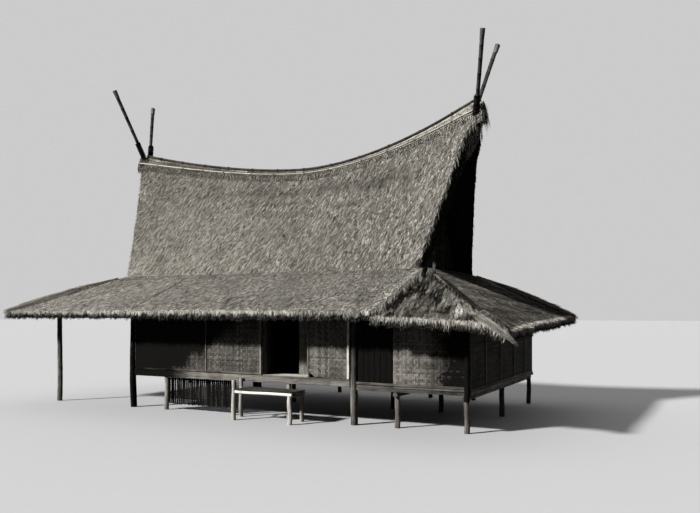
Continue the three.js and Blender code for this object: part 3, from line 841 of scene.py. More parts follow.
def layLip(name, edgeDistance, seed):
    # straws that run over the edge of an apron and droop
    rng = np.random.default_rng(seed)
    side = name.split("_")[-1]
    roots, normals = scatter(trianglesOf(name, facesUp), lipPlan["density"][side], rng)
    fall = downhill(normals)
    distance = edgeDistance(roots, fall)
    kept = distance < lipPlan["reach"]
    roots, normals, fall, distance = roots[kept], normals[kept], fall[kept], distance[kept]
    count = len(roots)
    along = strewn(fall, lipPlan["scatter"], roots.shape, rng)
    over = rng.uniform(*lipPlan["over"], count) * (1 + 0.5 * softNoise(roots, 0.2, seed + 1))
    widths = rng.uniform(*lipPlan["width"], count)
    lifts = rng.uniform(*lipPlan["lift"], count)
    tones = lipPlan["tone"] + rng.normal(0, lipPlan["toneSpread"], count)
    start, full, end, gone = lipPlan["dimStretch"]
    dim = fade(roots[:, 0], start, full) * (1 - fade(roots[:, 0], end, gone)) * (roots[:, 1] < 0)
    tones += lipPlan["patchTone"] * softNoise(roots, 0.35, seed + 2) - lipPlan["dimTone"] * dim
    tones = np.clip(tones - lipPlan["darker"].get(side, 0.0), 0.0, lipPlan["lightest"])
    droop = strewn(-upAxis, lipPlan["scatter"], roots.shape, rng)
    return strawBladesPart(roots, along, normals, distance + over, widths, lifts, tones, droop)


def layRoof():
    jobs = [
        ("upper_roof_front", 1.85, toSteepEdge, steepTint, (-0.42, -0.16), thatchPlan),
        ("upper_roof_back", 0.8, toSteepEdge, steepTint, (-0.1, 0.3), thatchPlan),
        ("lower_roof_front", 1.5, toSideEave, mainApronTint, (-0.16, 0.0), apronThatch),
        ("lower_roof_back", 0.75, toSideEave, apronTint, (0.0, 0.15), apronThatch),
        ("lower_roof_left", 0.8, toEndEave, apronTint, (0.1, 0.1), apronThatch),
        ("lower_roof_right", 1.1, toEndEave, rightTint, (0.0, 0.0), apronThatch),
        ("lower_roof_corner", 1.8, toSideEave, cornerTint, (0.1, 0.1), cornerThatch),
    ]
    for seed, (name, density, edge, tint, lean, plan) in enumerate(jobs, start=11):
        part = layThatch(name, density, edge, tint, seed, lean, plan)
        makePiece(name + "_straw", [part], strawBlades)
        if name.startswith("lower_roof"):
            makePiece(name + "_lip", [layLip(name, edge, seed + 90)], strawBlades)
        print(name, "straw:", len(part["faces"]), "triangles")


layRoof()


# Rims of the thatch: eaves, verges, cap ends and hips bristle with longer straws that droop

fringePlan = {"width": (0.010, 0.024), "toneSpread": 0.1, "droops": True, "way": None, "clumpTone": 0.06}
fringePlans = {
    "eave": {"density": 2400, "length": (0.04, 0.11), "lift": (0.002, 0.016), "scatter": 0.18,
             "tone": (0.58, 0.02), "toneSpread": 0.13, "out": 0.8, "clump": 0.5, "deep": 0.12},
    "verge": {"density": 1500, "length": (0.10, 0.24), "width": (0.012, 0.03), "lift": (0.0, 0.012),
              "scatter": 0.07, "tone": (0.66, -0.04), "toneSpread": 0.05, "out": 0.05, "clump": 0.3,
              "deep": 0.12},
    "capEdge": {"density": 1400, "length": (0.06, 0.14), "width": (0.010, 0.022), "lift": (0.002, 0.014),
                "scatter": 0.14, "tone": (0.80, 0.76), "out": 0.35, "clump": 0.3, "deep": 0.2,
                "droops": False},
    "capEnd": {"density": 2400, "length": (0.14, 0.34), "width": (0.010, 0.022), "lift": (0.0, 0.03),
               "scatter": 0.10, "tone": (0.46, 0.08), "out": 0.25, "clump": 0.35, "deep": 0.22},
    "lapOver": {"density": 4200, "length": (0.22, 0.48), "width": (0.012, 0.024), "lift": (0.01, 0.06),
                "scatter": 0.07, "tone": (0.70, 0.24), "toneSpread": 0.12, "out": 0.5, "clump": 0.4,
                "deep": 0.14, "way": (0.10, -0.90, -0.46)},
}


def fringeLengths(kind, plan, roots, clump, depth, rng):
    lengths = rng.uniform(*plan["length"], len(roots)) * (1 + plan["clump"] * clump) * mix(1.2, 0.7, depth)
    if kind == "capEnd":
        return lengths * np.where(roots[:, 0] < 0, 0.35, 1.3)  # trimmed short at the left end
    if kind == "lapOver":
        return np.minimum(lengths, (eaveHalf[1] + 0.06 + roots[:, 1]) * 1.1)
    return lengths


def layFringe(name, keep, kind, seed):
    # tone goes from the first value at the rim's top to the second, deep metres below it: painted shade under
    # the rim's top
    plan = dict(fringePlan, **fringePlans[kind])
    rng = np.random.default_rng(seed)
    thin = 0.6 if name.endswith(("back", "left")) and kind == "eave" else 1.0
    roots, normals = scatter(trianglesOf(name, keep), plan["density"] * thin, rng)
    count = len(roots)
    level = unit(normals * [1, 1, 0])
    depth = np.array([depthBelowTop(name, place) for place in roots - level * 0.02]) / plan["deep"]
    depth = np.clip(depth, 0, 1)
    fall = unit(level * (plan["out"] * mix(1.2, 0.6, depth))[:, None] - upAxis)
    if plan["way"]:
        fall = unit(np.array(plan["way"]))
    along = strewn(fall, plan["scatter"], roots.shape, rng)
    clump = softNoise(roots * [1, 1, 0.2], 0.22, seed + 5)
    lengths = fringeLengths(kind, plan, roots, clump, depth, rng)
    widths = rng.uniform(*plan["width"], count)
    lifts = rng.uniform(*plan["lift"], count)
    tones = mix(*plan["tone"], depth) + rng.normal(0, plan["toneSpread"], count)
    tones = np.clip(tones + plan["clumpTone"] * clump, 0.0, 1.1)
    droop = strewn(-upAxis, 0.1, roots.shape, rng) if plan["droops"] else None
    return strawBladesPart(roots, along, level, lengths, widths, lifts, tones, droop)


def nearEave(normal, centre):
    outer = (np.abs(centre[:, 0]) > eaveHalf[0] - 0.1) | (np.abs(centre[:, 1]) > eaveHalf[1] - 0.1)
    return outer & (np.abs(normal[:, 2]) < 0.5)


def nearVerge(normal, centre):
    return np.abs(normal[:, 0]) > 0.4


def besideCorner(normal, centre):
    return (normal[:, 0] > 0.6) & (centre[:, 0] > 4.0)


def capSide(normal, centre):
    return (np.abs(normal[:, 1]) > 0.5) & (normal[:, 2] < 0.25)


hipPlan = {
    "perSquareMetre": 1500, "inset": (0.09, 0.08), "halfWidth": 0.09, "length": (0.22, 0.5),
    "width": (0.010, 0.026), "lift": (0.004, 0.02), "fall": 1.2, "scatter": 0.05, "tone": 0.62,
    "toneSpread": 0.10, "patchTone": 0.06,
}


def onHipRoll(normal, centre):
    fromHip = upApron(centre, 0, hipPlan["inset"][0]) - upApron(centre, 1, hipPlan["inset"][1])
    rolled = (centre[:, 0] < 0) | (centre[:, 1] > 0)  # the front right hip has none
    return (np.abs(fromHip) < hipPlan["halfWidth"]) & (normal[:, 2] > -0.3) & rolled


def layHips(name, seed):
    # long straws down the hip rolls, bright on top
    rng = np.random.default_rng(seed)
    roots, normals = scatter(trianglesOf(name, onHipRoll), hipPlan["perSquareMetre"], rng)
    count = len(roots)
    run = np.sign(roots[:, :2]) * (np.array(eaveHalf) - kinkHalf)
    hip = unit(np.concatenate([run, np.full((count, 1), -hipPlan["fall"])], axis=1))
    along = strewn(hip, hipPlan["scatter"], roots.shape, rng)
    reach = np.linalg.norm(np.array(eaveHalf) - np.abs(roots[:, :2]), axis=1)
    lengths = np.clip(rng.uniform(*hipPlan["length"], count), 0.06, reach * 1.1 + 0.1)
    widths = rng.uniform(*hipPlan["width"], count)
    lifts = rng.uniform(*hipPlan["lift"], count)
    tones = hipPlan["tone"] + rng.normal(0, hipPlan["toneSpread"], count)
    tones = np.clip(tones + hipPlan["patchTone"] * softNoise(roots, 0.3, seed), 0.0, 1.1)
    return strawBladesPart(roots, along, normals, lengths, widths, lifts, tones)


# The sheaf at the front right corner
sheaf = {
    "line": [(6.37, -3.40, 2.405), (6.68, -3.56, 2.25), (6.90, -3.62, 2.11), (7.08, -3.63, 1.98)],
    "radius": 0.088,
    "taper": ([0, 0.05, 0.5, 0.75], [0.88, 1.0, 0.85, 0.5]),  # shares of the line, shares of the radius
    "blades": 1500,
    "headShare": 0.35,  # this many blades start at the very head
    "length": (0.20, 0.40),
    "width": (0.010, 0.020),
    "lift": (-0.004, 0.010),
    "tone": 0.36,
    "toneSpread": 0.12,
}


def laySheaf():
    rng = np.random.default_rng(57)
    count = sheaf["blades"]
    knots = np.array(sheaf["line"])
    stretches = len(knots) - 1
    share = rng.uniform(0, 0.75, count)
    share = np.where(rng.random(count) < sheaf["headShare"], share * 0.08, share)
    t = share * stretches
    index = np.minimum(t.astype(int), stretches - 1)
    step = knots[index + 1] - knots[index]
    ahead = unit(step)
    side = unit(np.cross(ahead, upAxis))
    over = np.cross(side, ahead)
    turn = rng.uniform(-0.9, math.pi + 0.9, count)[:, None]
    outward = side * np.cos(turn) + over * np.sin(turn)
    reach = sheaf["radius"] * np.interp(share, *sheaf["taper"])
    roots = knots[index] + step * (t - index)[:, None] + outward * reach[:, None]
    lengths = np.minimum(rng.uniform(*sheaf["length"], count), 0.10 + 1.05 * (1 - share))
    along = strewn(ahead - outward * 0.10, 0.035, roots.shape, rng)
    tones = np.clip(sheaf["tone"] + rng.normal(0, sheaf["toneSpread"], count), 0.0, 1.1)
    widths = rng.uniform(*sheaf["width"], count)
    lifts = rng.uniform(*sheaf["lift"], count)
    return strawBladesPart(roots, along, outward, lengths, widths, lifts, tones)


# black straws that paint the shadow in the crevice beside the front right hip: share of the hip where it
# starts and ends
creviceShadowPlan = {
    "from": 0.26, "to": 0.84, "halfWidth": 0.026, "narrowest": 0.006, "shift": 0.010, "perSquareMetre": 3000,
    "way": (1.0, -0.9, -0.45), "length": (0.12, 0.24), "width": (0.014, 0.028), "lift": (0.02, 0.045),
    "tone": 0.03,
}


def atCrevice(normal, centre):
    return (normal[:, 2] > 0.1) & (centre[:, 0] > kinkHalf[0] - 0.3)


def layCreviceShadow():
    rng = np.random.default_rng(59)
    parts = []
    for name in ("lower_roof_right", "lower_roof_corner"):
        roots, normals = scatter(trianglesOf(name, atCrevice), creviceShadowPlan["perSquareMetre"], rng)
        upX, upY = upApron(roots, 0), upApron(roots, 1)
        middle = (upX + upY) / 2
        taper = 1 - fade(middle, 0.6, creviceShadowPlan["to"])
        wide = creviceShadowPlan["halfWidth"] * taper + creviceShadowPlan["narrowest"]
        kept = (middle > creviceShadowPlan["from"]) & (middle < creviceShadowPlan["to"]) & (roots[:, 1] < 0)
        kept &= np.abs(upX - upY + creviceShadowPlan["shift"]) < wide
        roots, normals = roots[kept], normals[kept]
        count = len(roots)
        along = strewn(np.array(creviceShadowPlan["way"]), 0.08, roots.shape, rng)
        sizes = [rng.uniform(*creviceShadowPlan[key], count) for key in ("length", "width", "lift")]
        tones = np.full(count, creviceShadowPlan["tone"])
        parts.append(strawBladesPart(roots, along, normals, *sizes, tones))
    return joined(parts)


# a small tuft where the front right hip meets the steep thatch
tuft = {"place": (4.88, -1.76, 3.33), "spread": 0.02, "height": (0.10, 0.30), "width": 0.02, "blades": 26,
        "tone": 0.32}


def layTuft():
    rng = np.random.default_rng(58)
    count = tuft["blades"]
    roots = np.array(tuft["place"]) + rng.normal(0, tuft["spread"], (count, 3)) * [1, 1, 0.3]
    along = strewn(upAxis, 0.12, (count, 3), rng)
    facing = unit(rng.normal(0, 1, (count, 3)) * [1, 1, 0.1])
    heights = rng.uniform(*tuft["height"], count)
    tones = tuft["tone"] + rng.normal(0, 0.1, count)
    widths, lifts = np.full(count, tuft["width"]), np.zeros(count)
    return strawBladesPart(roots, along, facing, heights, widths, lifts, tones)


# Ridge line: it sweeps up from its lowest place to both ends

ridge = {
    "lowX": 0.5, "lowZ": 6.37, "leftRise": 0.92, "leftRun": 5.66, "leftPower": 1.58,
    "rightRise": 1.27, "rightRun": 4.81, "rightPower": 1.9, "levelAt": 5.23,
    "endX": 5.26, "clampEndX": 5.47, "capHalf": 0.086, "capSpread": 0.056, "capEndX": 5.44,
    "kinkZ": 3.5, "kinkHalfY": 1.54, "capDepth": 0.15,
}


def capHalfWidth(x):
    return ridge["capHalf"] + ridge["capSpread"] * np.abs(x / ridge["capEndX"]) ** 3


def ridgeTop(x):
    off = np.minimum(x, ridge["levelAt"]) - ridge["lowX"]
    left = ridge["leftRise"] * (np.maximum(-off, 0) / ridge["leftRun"]) ** ridge["leftPower"]
    right = ridge["rightRise"] * (np.maximum(off, 0) / ridge["rightRun"]) ** ridge["rightPower"]
    return ridge["lowZ"] + left + right


def ridgeLine(share, lift):
    # share of the cap's half width, from -1 (front edge) to 1 (back edge)
    end = ridge["clampEndX"] if share else ridge["endX"]
    x = np.linspace(-end, end, 45)
    top = ridgeTop(x)
    y = share * capHalfWidth(x)
    steep = 0.95 * (top - ridge["capDepth"] - ridge["kinkZ"]) / ridge["kinkHalfY"]
    z = top - np.maximum(0, np.abs(y) - 0.02) * steep
    out = unit(np.stack([0 * x, np.sign(share) * steep, np.ones_like(x)], axis=1)) if share else upAxis
    return np.stack([x, y, z], axis=1) + out * lift


def capTint(roots, distance):
    # darker below the horns
    belowHorns = np.exp(-((np.abs(roots[:, 0]) - 5.34) / 0.12) ** 2) * (roots[:, 1] < 0)
    lengthwiseTone = tints["capLeft"] + tints["capRight"] * fade(roots[:, 0], -1.0, 2.6)
    return lengthwiseTone - tints["capDarkBelowHorns"] * belowHorns + tints["capPatches"] * softNoise(roots, 0.5, 63)


def toCapEdge(roots, fall):
    return wayToEdge(roots, fall, 1, capHalfWidth(roots[:, 0]))


def layRims():
    jobs = [("lower_roof_" + side, nearEave, "eave") for side in ("front", "back", "left", "right", "corner")]
    jobs += [("upper_roof_" + side, nearVerge, "verge") for side in ("front", "back")]
    jobs.append(("lower_roof_front", besideCorner, "lapOver"))
    jobs += [("ridge_cap", nearVerge, "capEnd"), ("ridge_cap", capSide, "capEdge")]
    for seed, (name, keep, kind) in enumerate(jobs, start=31):
        part = layFringe(name, keep, kind, seed)
        makePiece(name + "_" + kind, [part], strawBlades)
        print(name, kind, "fringe:", len(part["faces"]), "triangles")
    for seed, name in enumerate(("lower_roof_left", "lower_roof_right"), start=51):
        makePiece(name + "_hips", [layHips(name, seed)], strawBlades)
    makePiece("corner_sheaf", [laySheaf()], strawBlades)
    makePiece("hip_tuft", [layTuft()], strawBlades)
    makePiece("hip_crevice_shadow", [layCreviceShadow()], strawBlades)
    part = layThatch("ridge_cap", 2.4, toCapEdge, capTint, 61, (0.05, 0.05), capThatch)
    makePiece("ridge_cap_straw", [part], strawBlades)
    print("ridge straw:", len(part["faces"]), "triangles")


layRims()


# Poles, logs and bars: a section carried along a line and closed at both ends

def circle(count):
    angles = np.arange(count) * 2 * math.pi / count
    return np.stack([np.cos(angles), np.sin(angles)], axis=1)


def barSection(width, height, chamfer):
    w, h, c = width / 2, height / 2, chamfer
    return np.array([(w, h - c), (w - c, h), (c - w, h), (-w, h - c),
                     (-w, c - h), (c - w, -h), (w - c, -h), (w, c - h)])


def runAlong(line):
    return np.concatenate([[0], np.cumsum(np.linalg.norm(np.diff(line, axis=0), axis=1))])


def taper(radius, endRadius, t):
    return mix(radius, radius if endRadius is None else endRadius, t)


def sweep(line, section, scale=1.0, tone=0.5, seed=0, sideways=None, stationTone=0.0):
    # the section's first axis lies level, or along X where the line stands upright
    line = np.asarray(line, float)
    ahead = unit(np.gradient(line, axis=0))
    if sideways is None:
        sideways = (0, 1, 0) if abs(ahead[0, 2]) > 0.8 else (0, 0, 1)
    side = unit(np.cross(np.array(sideways, float), ahead))
    up = np.cross(ahead, side)
    stations, corners = len(line), len(section)
    scale = np.asarray(scale, float)
    scale = np.broadcast_to(scale[:, None] if scale.ndim == 1 else scale, (stations, corners))
    local = section[None] * scale[..., None]
    ring = line[:, None] + side[:, None] * local[..., :1] + up[:, None] * local[..., 1:]
    run = np.broadcast_to(runAlong(line)[:, None, None], (stations, corners, 1))
    grain = np.concatenate([local + [0, seed * 3.7], run], axis=2)
    tones = np.broadcast_to(np.reshape(tone + np.asarray(stationTone), (-1, 1)), (stations, corners))
    i, k = np.meshgrid(np.arange(stations - 1), np.arange(corners), indexing="ij")
    here, above, after = i * corners, (i + 1) * corners, (k + 1) % corners
    quads = np.stack([here + k, here + after, above + after, above + k], axis=-1)
    points, grains, shade = [ring.reshape(-1, 3)], [grain.reshape(-1, 3)], [tones.reshape(-1)]
    faces = [quadsToTriangles(quads.reshape(-1, 4))]
    k = np.arange(corners)
    after = (k + 1) % corners
    start = stations * corners
    for station, rim in ((0, [after, k]), (stations - 1, [k, after])):
        points += [ring[station], line[station][None]]
        grains += [grain[station], grain[station].mean(axis=0)[None]]
        shade += [tones[station] - 0.08, tones[station][:1] - 0.14]  # cut ends are darker, most in the middle
        faces.append(np.stack([np.full(corners, corners)] + rim, axis=1) + start)
        start += corners + 1
    return {"points": np.concatenate(points), "faces": np.concatenate(faces),
            "tone": np.concatenate(shade), "grain": np.concatenate(grains)}


def log(start, end, radius, endRadius=None, seed=0, tone=0.5, sides=11, rough=0.05, wander=0.01):
    # a round post, hewn by hand: not quite straight, not quite round
    rng = np.random.default_rng(seed)
    start, end = np.array(start, float), np.array(end, float)
    length = np.linalg.norm(end - start)
    upright = abs(end[2] - start[2]) > 0.8 * length
    t = np.linspace(0, 1, max(4, int(length / 0.13) + 1))
    sway = rng.normal(0, wander, (2, 3))
    line = start + (end - start) * t[:, None]
    line += np.sin(math.pi * t)[:, None] * sway[0] + np.sin(2 * math.pi * t)[:, None] * sway[1]
    radii = taper(radius, endRadius, t)[:, None]
    lobes = 1 + rng.normal(0, rough, sides)[None] + rng.normal(0, rough * 0.45, (len(t), sides))
    part = sweep(line, circle(sides), radii * lobes, tone, seed, stationTone=rng.normal(0, 0.03, len(t)))
    if upright:
        part["points"][:, 2] = np.maximum(part["points"][:, 2], min(start[2], end[2]))
    return part


def bamboo(line, radius, endRadius=None, seed=0, tone=0.5, spacing=0.3, sides=8):
    # a cane with its node rings
    rng = np.random.default_rng(seed)
    line = np.asarray(line, float)
    run = runAlong(line)
    gaps = rng.uniform(0.8, 1.2, int(run[-1] / spacing) + 2) * spacing
    nodes = np.cumsum(gaps) - gaps[0] * rng.uniform(0.2, 0.9)
    nodes = nodes[(nodes > 0.03) & (nodes < run[-1] - 0.03)]
    stops = np.concatenate([[0, run[-1]], nodes - 0.014, nodes, nodes + 0.014])
    swell = np.concatenate([[1, 1], nodes * 0 + 1, nodes * 0 + 1.12, nodes * 0 + 1.0])
    shade = np.concatenate([[0, 0], nodes * 0, nodes * 0 - 0.16, nodes * 0 + 0.06])
    order = np.argsort(stops)
    stops, swell, shade = stops[order], swell[order], shade[order]
    path = np.stack([np.interp(stops, run, line[:, axis]) for axis in range(3)], axis=1)
    radii = taper(radius, endRadius, stops / run[-1]) * swell
    return sweep(path, circle(sides), radii, tone, seed, stationTone=shade)


def bar(start, end, width, height, seed=0, tone=0.5, chamfer=0.005, uneven=0.03, wander=0.003):
    # width lies level across the bar, height upright
    rng = np.random.default_rng(seed)
    start, end = np.array(start, float), np.array(end, float)
    t = np.linspace(0, 1, max(3, int(np.linalg.norm(end - start) / 0.3) + 1))
    line = start + (end - start) * t[:, None]
    line += np.sin(math.pi * t)[:, None] * rng.normal(0, wander, 3)
    scale = 1 + rng.normal(0, uneven, (len(t), 8))
    section = barSection(width, height, chamfer)
    return sweep(line, section, scale, tone, seed, stationTone=rng.normal(0, 0.02, len(t)))


def rope(centre, axis, radius, turns, thickness, seed=0, tone=0.35, spread=1.0):
    # a lashing: a coil around the axis
    rng = np.random.default_rng(seed)
    axis = unit(np.array(axis, float))
    side = unit(np.cross(axis, [0.3, 0.9, 0.2]))
    other = np.cross(axis, side)
    angle = np.linspace(0, turns * 2 * math.pi, turns * 10 + 1)
    reach = radius + rng.normal(0, thickness * 0.2, len(angle))
    line = np.array(centre, float) + side * (np.cos(angle) * reach)[:, None]
    line += other * (np.sin(angle) * reach)[:, None]
    line += axis * ((angle / angle[-1] - 0.5) * turns * thickness * 2.1 * spread)[:, None]
    return sweep(line, circle(5), thickness, tone, seed, sideways=axis)


# Ridge: bamboo along the cap, crossed horns and their lashings

ridgeCanes = {
    "ridge_pole_top": {"share": 0, "lift": 0.035, "radius": 0.034, "tone": 0.22},
    "ridge_pole_front": {"share": -0.9, "lift": 0.02, "radius": 0.016, "tone": 0.78},
    "ridge_pole_back": {"share": 0.9, "lift": 0.024, "radius": 0.020, "tone": 0.7},
}
horns = {  # where each horn crosses the ridge, and its tip
    "horn_right_front": [(5.27, 0, 7.0), (5.71, -0.80, 9.02)],
    "horn_right_back": [(5.165, 0, 7.0), (5.61, 0.80, 9.18)],
    "horn_left_front": [(-5.27, 0, 7.06), (-5.84, -0.80, 9.25)],
    "horn_left_back": [(-5.165, 0, 7.06), (-5.79, 0.80, 9.10)],
}
# the canes are weathered dark and darker still as painted shade of canes seen against the light
hornPlan = {"foot": 0.56, "bend": 0.01, "radius": 0.044, "tipRadius": 0.054, "tone": 0.2, "spacing": 0.36,
            "headLength": 0.24, "headRadius": (0.058, 0.066), "headTone": 0.42}
footBinding = {"up": 0.50, "radius": 0.072, "turns": 16, "thickness": 0.014, "tone": 0.06}
ridgeTies = {"halfRun": 4.7, "count": 12, "lift": 0.03, "radius": 0.043, "thickness": 0.007,
             "clampLift": 0.027, "clampRadius": 0.028, "clampThickness": 0.005, "clampTone": 0.75}


def buildHorn(name, crossing, tip, seed):
    crossing, tip = np.array(crossing, float), np.array(tip, float)
    ahead = unit(tip - crossing)
    foot = crossing - ahead * hornPlan["foot"]
    t = np.linspace(0, 1, 9)[:, None]
    bend = np.sin(math.pi * t) * np.array([hornPlan["bend"], 0.0, 0.0]) * (1 if seed % 2 else -1)
    cane = bamboo(foot + (tip - foot) * t + bend, hornPlan["radius"], hornPlan["tipRadius"], seed,
                  hornPlan["tone"], hornPlan["spacing"], sides=10)
    head = log(tip - ahead * hornPlan["headLength"], tip + ahead * 0.005, *hornPlan["headRadius"], seed,
               hornPlan["headTone"], wander=0)
    makePiece(name + "_cane", [cane, head], bambooSkin, smooth=True, replaces=[name])


def tieCrossing(side, seed):
    # two coils around the crossed horns and one upright between them
    front, back = (horns["horn_" + side + "_" + face][0] for face in ("front", "back"))
    middle = (np.array(front) + np.array(back)) / 2 + [0, 0, 0.07]
    ties = []
    for lift in (0, 0.02):
        ties.append(rope(middle + [0, 0, lift], (1, 0, 0.12), 0.085, 4, 0.011, seed, spread=1.3))
    ties.append(rope(middle + [0, 0, 0.06], (0, 0.2, 1), 0.10, 3, 0.011, seed + 7))
    return ties


def tieFoot(crossing, tip, seed):
    # dark palm fibre around a horn's foot, where it leaves the thatch
    way = unit(np.array(tip) - np.array(crossing))
    return rope(np.array(crossing) + way * footBinding["up"], way, footBinding["radius"],
                footBinding["turns"], footBinding["thickness"], seed, footBinding["tone"])


def tieCanes(index, x):
    # one tie around the top cane and one around each clamp
    top = (x, 0, ridgeTop(x) + ridgeTies["lift"])
    ties = [rope(top, (1, 0, 0), ridgeTies["radius"], 3, ridgeTies["thickness"], 60 + index, spread=1.1)]
    for side in (-1, 1):
        line = ridgeLine(side * ridgeCanes["ridge_pole_back"]["share"], ridgeTies["clampLift"])
        near = line[np.argmin(np.abs(line[:, 0] - x))]
        ties.append(rope(near, (1, 0, 0), ridgeTies["clampRadius"], 3, ridgeTies["clampThickness"],
                         90 + index * 2 + side, ridgeTies["clampTone"], spread=1.1))
    return ties


def buildRidge():
    for seed, (name, plan) in enumerate(ridgeCanes.items(), start=1):
        cane = bamboo(ridgeLine(plan["share"], plan["lift"]), plan["radius"], seed=seed, tone=plan["tone"])
        makePiece(name + "_cane", [cane], bambooSkin, smooth=True, replaces=[name])
    for seed, (name, (crossing, tip)) in enumerate(horns.items(), start=5):
        buildHorn(name, crossing, tip, seed)
    ties = tieCrossing("left", 21) + tieCrossing("right", 22)
    ties += [tieFoot(crossing, tip, seed) for seed, (crossing, tip) in enumerate(horns.values(), start=41)]
    for index, x in enumerate(np.linspace(-ridgeTies["halfRun"], ridgeTies["halfRun"], ridgeTies["count"])):
        ties += tieCanes(index, x)
    makePiece("ridge_lashings", ties, ropeFibre, smooth=True)
    print("ridge poles and horns ready")


buildRidge()


# Walls: strips of split bamboo, two over and two under

def tornCorner(a, b):
    # the panel's lower left corner has broken away
    return (b > 0.165 - 0.7 * a) & (b > 0.03 - 0.03 * a) & ~((a < 0.52) & (b < 0.012))


def sheet(origin, across, size, **changes):
    # battens: where upright ones stand, or None for a sheet without any; the darker end: shares of the width
    # where painted shade over one end begins and is complete, its change of tone and its slant
    plan = {"origin": origin, "across": across, "size": size, "pitch": 0.036, "tone": 0.42, "stains": 0.05,
            "torn": None, "weathered": None, "battens": None}
    return dict(plan, **changes)


toRight, toLeft, toFront, toBack = (1, 0, 0), (-1, 0, 0), (0, -1, 0), (0, 1, 0)
wallSheets = {
    # the front wall's left end is darker: a painted shadow with a slanting edge; the annex's right end too,
    # as painted shade, mottled darker
    "front_wall_left": sheet((-3.02, -2.80, 1.012), toRight, (3.995, 1.58), tone=0.31, battens=[2.33],
                             weathered=(0.62, 0.38, -0.46, -0.34)),
    "recess_wall": sheet((1.695, -2.30, 1.012), toRight, (0.51, 1.58), tone=0.46),
    "recess_side_right": sheet((2.21, -2.265, 1.012), toFront, (0.49, 1.58)),
    "front_panel": sheet((2.212, -2.80, 1.012), toRight, (1.09, 1.58), tone=0.40, torn=tornCorner,
                         battens=[]),
    "annex_front_wall": sheet((4.35, -2.80, 0.862), toRight, (1.62, 1.5), tone=0.45, stains=0.12,
                              battens=[], weathered=(0.33, 0.88, -0.47, 0.0)),
    # the right wall is dark: painted shade
    "right_wall": sheet((6.02, -2.745, 0.862), toBack, (5.5, 1.5), pitch=0.040, tone=0.18,
                        battens=[1.1, 2.3, 3.5, 4.6]),
    "annex_back_wall": sheet((6.015, 2.80, 0.862), toLeft, (2.7, 1.5), pitch=0.044, battens=[0.9, 1.8]),
    "back_wall": sheet((3.30, 2.80, 1.012), toLeft, (6.4, 1.58), pitch=0.044,
                       battens=[1.28, 2.56, 3.84, 5.12]),
    "left_wall": sheet((-3.19, 2.75, 1.012), toFront, (5.5, 1.58), pitch=0.044, battens=[1.1, 2.3, 3.5, 4.6]),
}
stripPlan = {
    "rise": 0.0026, "clearance": 0.0045,  # over and under the sheet's middle, and its distance from the solid
    "slip": 0.0016, "waver": 0.0007, "halfWidth": (0.40, 0.485),
    "toneSpread": 0.055, "crossingTone": 0.02, "patchTone": 0.03,
}


def sheetFrame(plan):
    origin, across = np.array(plan["origin"], float), np.array(plan["across"], float)
    return origin, across, np.cross(across, upAxis)


def stripTones(plan, tone, column, row, where, seed):
    # dirt in patches, and painted shade over one end
    pitch, width = plan["pitch"], plan["size"][0]
    dirt = softNoise(where * [1, 1, 2.2], 0.55, seed + 3) + 0.6 * softNoise(where * [1, 1, 3], 0.17, seed + 4)
    if plan["stains"] > 0.1:
        dirt = dirt * (0.4 + 1.4 * (column * pitch / width).reshape(-1))  # heavier towards the far end
    tone = tone - plan["stains"] * np.clip(dirt, 0, 2).reshape(column.shape)
    tone = tone + stripPlan["patchTone"] * softNoise(where, 1.5, seed + 6).reshape(column.shape)
    if plan["weathered"]:
        begin, end, change, slant = plan["weathered"]
        share = column * pitch / width + slant * (row * pitch - 0.4)
        share = share + 0.04 * softNoise(where, 0.5, seed + 7).reshape(column.shape)
        tone = tone + change * (fade(share, begin, end) if end > begin else 1 - fade(share, end, begin))
    return tone


def weaveOneWay(plan, upright, seed, rng):
    # all strips of one direction: ribbons with a pair of points at each crossing
    origin, across, out = sheetFrame(plan)
    pitch = plan["pitch"]
    columns, rows = (int(size / pitch) for size in plan["size"])
    strips, crossings = (columns, rows) if upright else (rows, columns)
    i, j = np.meshgrid(np.arange(strips), np.arange(crossings), indexing="ij")
    column, row = (i, j) if upright else (j, i)
    over = ((column + row) % 4) < 2
    height = np.where(over == upright, stripPlan["rise"], -stripPlan["rise"]) + stripPlan["clearance"]
    slip = rng.normal(0, stripPlan["slip"], (strips, 1))
    slip = slip + rng.normal(0, stripPlan["waver"], (strips, crossings))
    half = pitch * rng.uniform(*stripPlan["halfWidth"], (strips, 1))
    tone = plan["tone"] + rng.normal(0, stripPlan["toneSpread"], (strips, 1))
    tone = tone + rng.normal(0, stripPlan["crossingTone"], (strips, crossings))
    edges = []
    for sign in (-1, 1):
        shift = slip + sign * half
        a = (column + 0.5) * pitch + (shift if upright else 0)
        b = (row + 0.5) * pitch + (0 if upright else shift)
        edges.append(origin + a[..., None] * across + b[..., None] * upAxis + height[..., None] * out)
    points = np.stack(edges, axis=2)
    tone = stripTones(plan, tone, column, row, points.mean(axis=2).reshape(-1, 3), seed)
    index = np.arange(strips * crossings * 2).reshape(strips, crossings, 2)
    quads = np.stack([index[:, :-1, 0], index[:, :-1, 1], index[:, 1:, 1], index[:, 1:, 0]], axis=-1)
    if plan["torn"]:
        middle = [(grid[:, :-1] + grid[:, 1:] + 1) / 2 * pitch for grid in (column, row)]
        quads = quads[plan["torn"](*middle)]
    quads = quads.reshape(-1, 4) if upright else quads.reshape(-1, 4)[:, ::-1]
    grain = np.zeros((strips, crossings, 2, 3))
    grain[..., 0] = np.array([-1, 1]) * half[..., None]
    grain[..., 1] = (i * 0.37 + (0 if upright else 50))[..., None]
    grain[..., 2] = (j * pitch)[..., None]
    return {"points": points.reshape(-1, 3), "faces": quadsToTriangles(quads),
            "tone": np.repeat(tone.reshape(-1), 2), "grain": grain.reshape(-1, 3)}


def buildWeaving():
    for seed, (name, plan) in enumerate(wallSheets.items(), start=71):
        rng = np.random.default_rng(seed)
        parts = [weaveOneWay(plan, upright, seed, rng) for upright in (True, False)]
        makePiece(name + "_weaving", parts, plaitStrips)
    print("weaving ready")
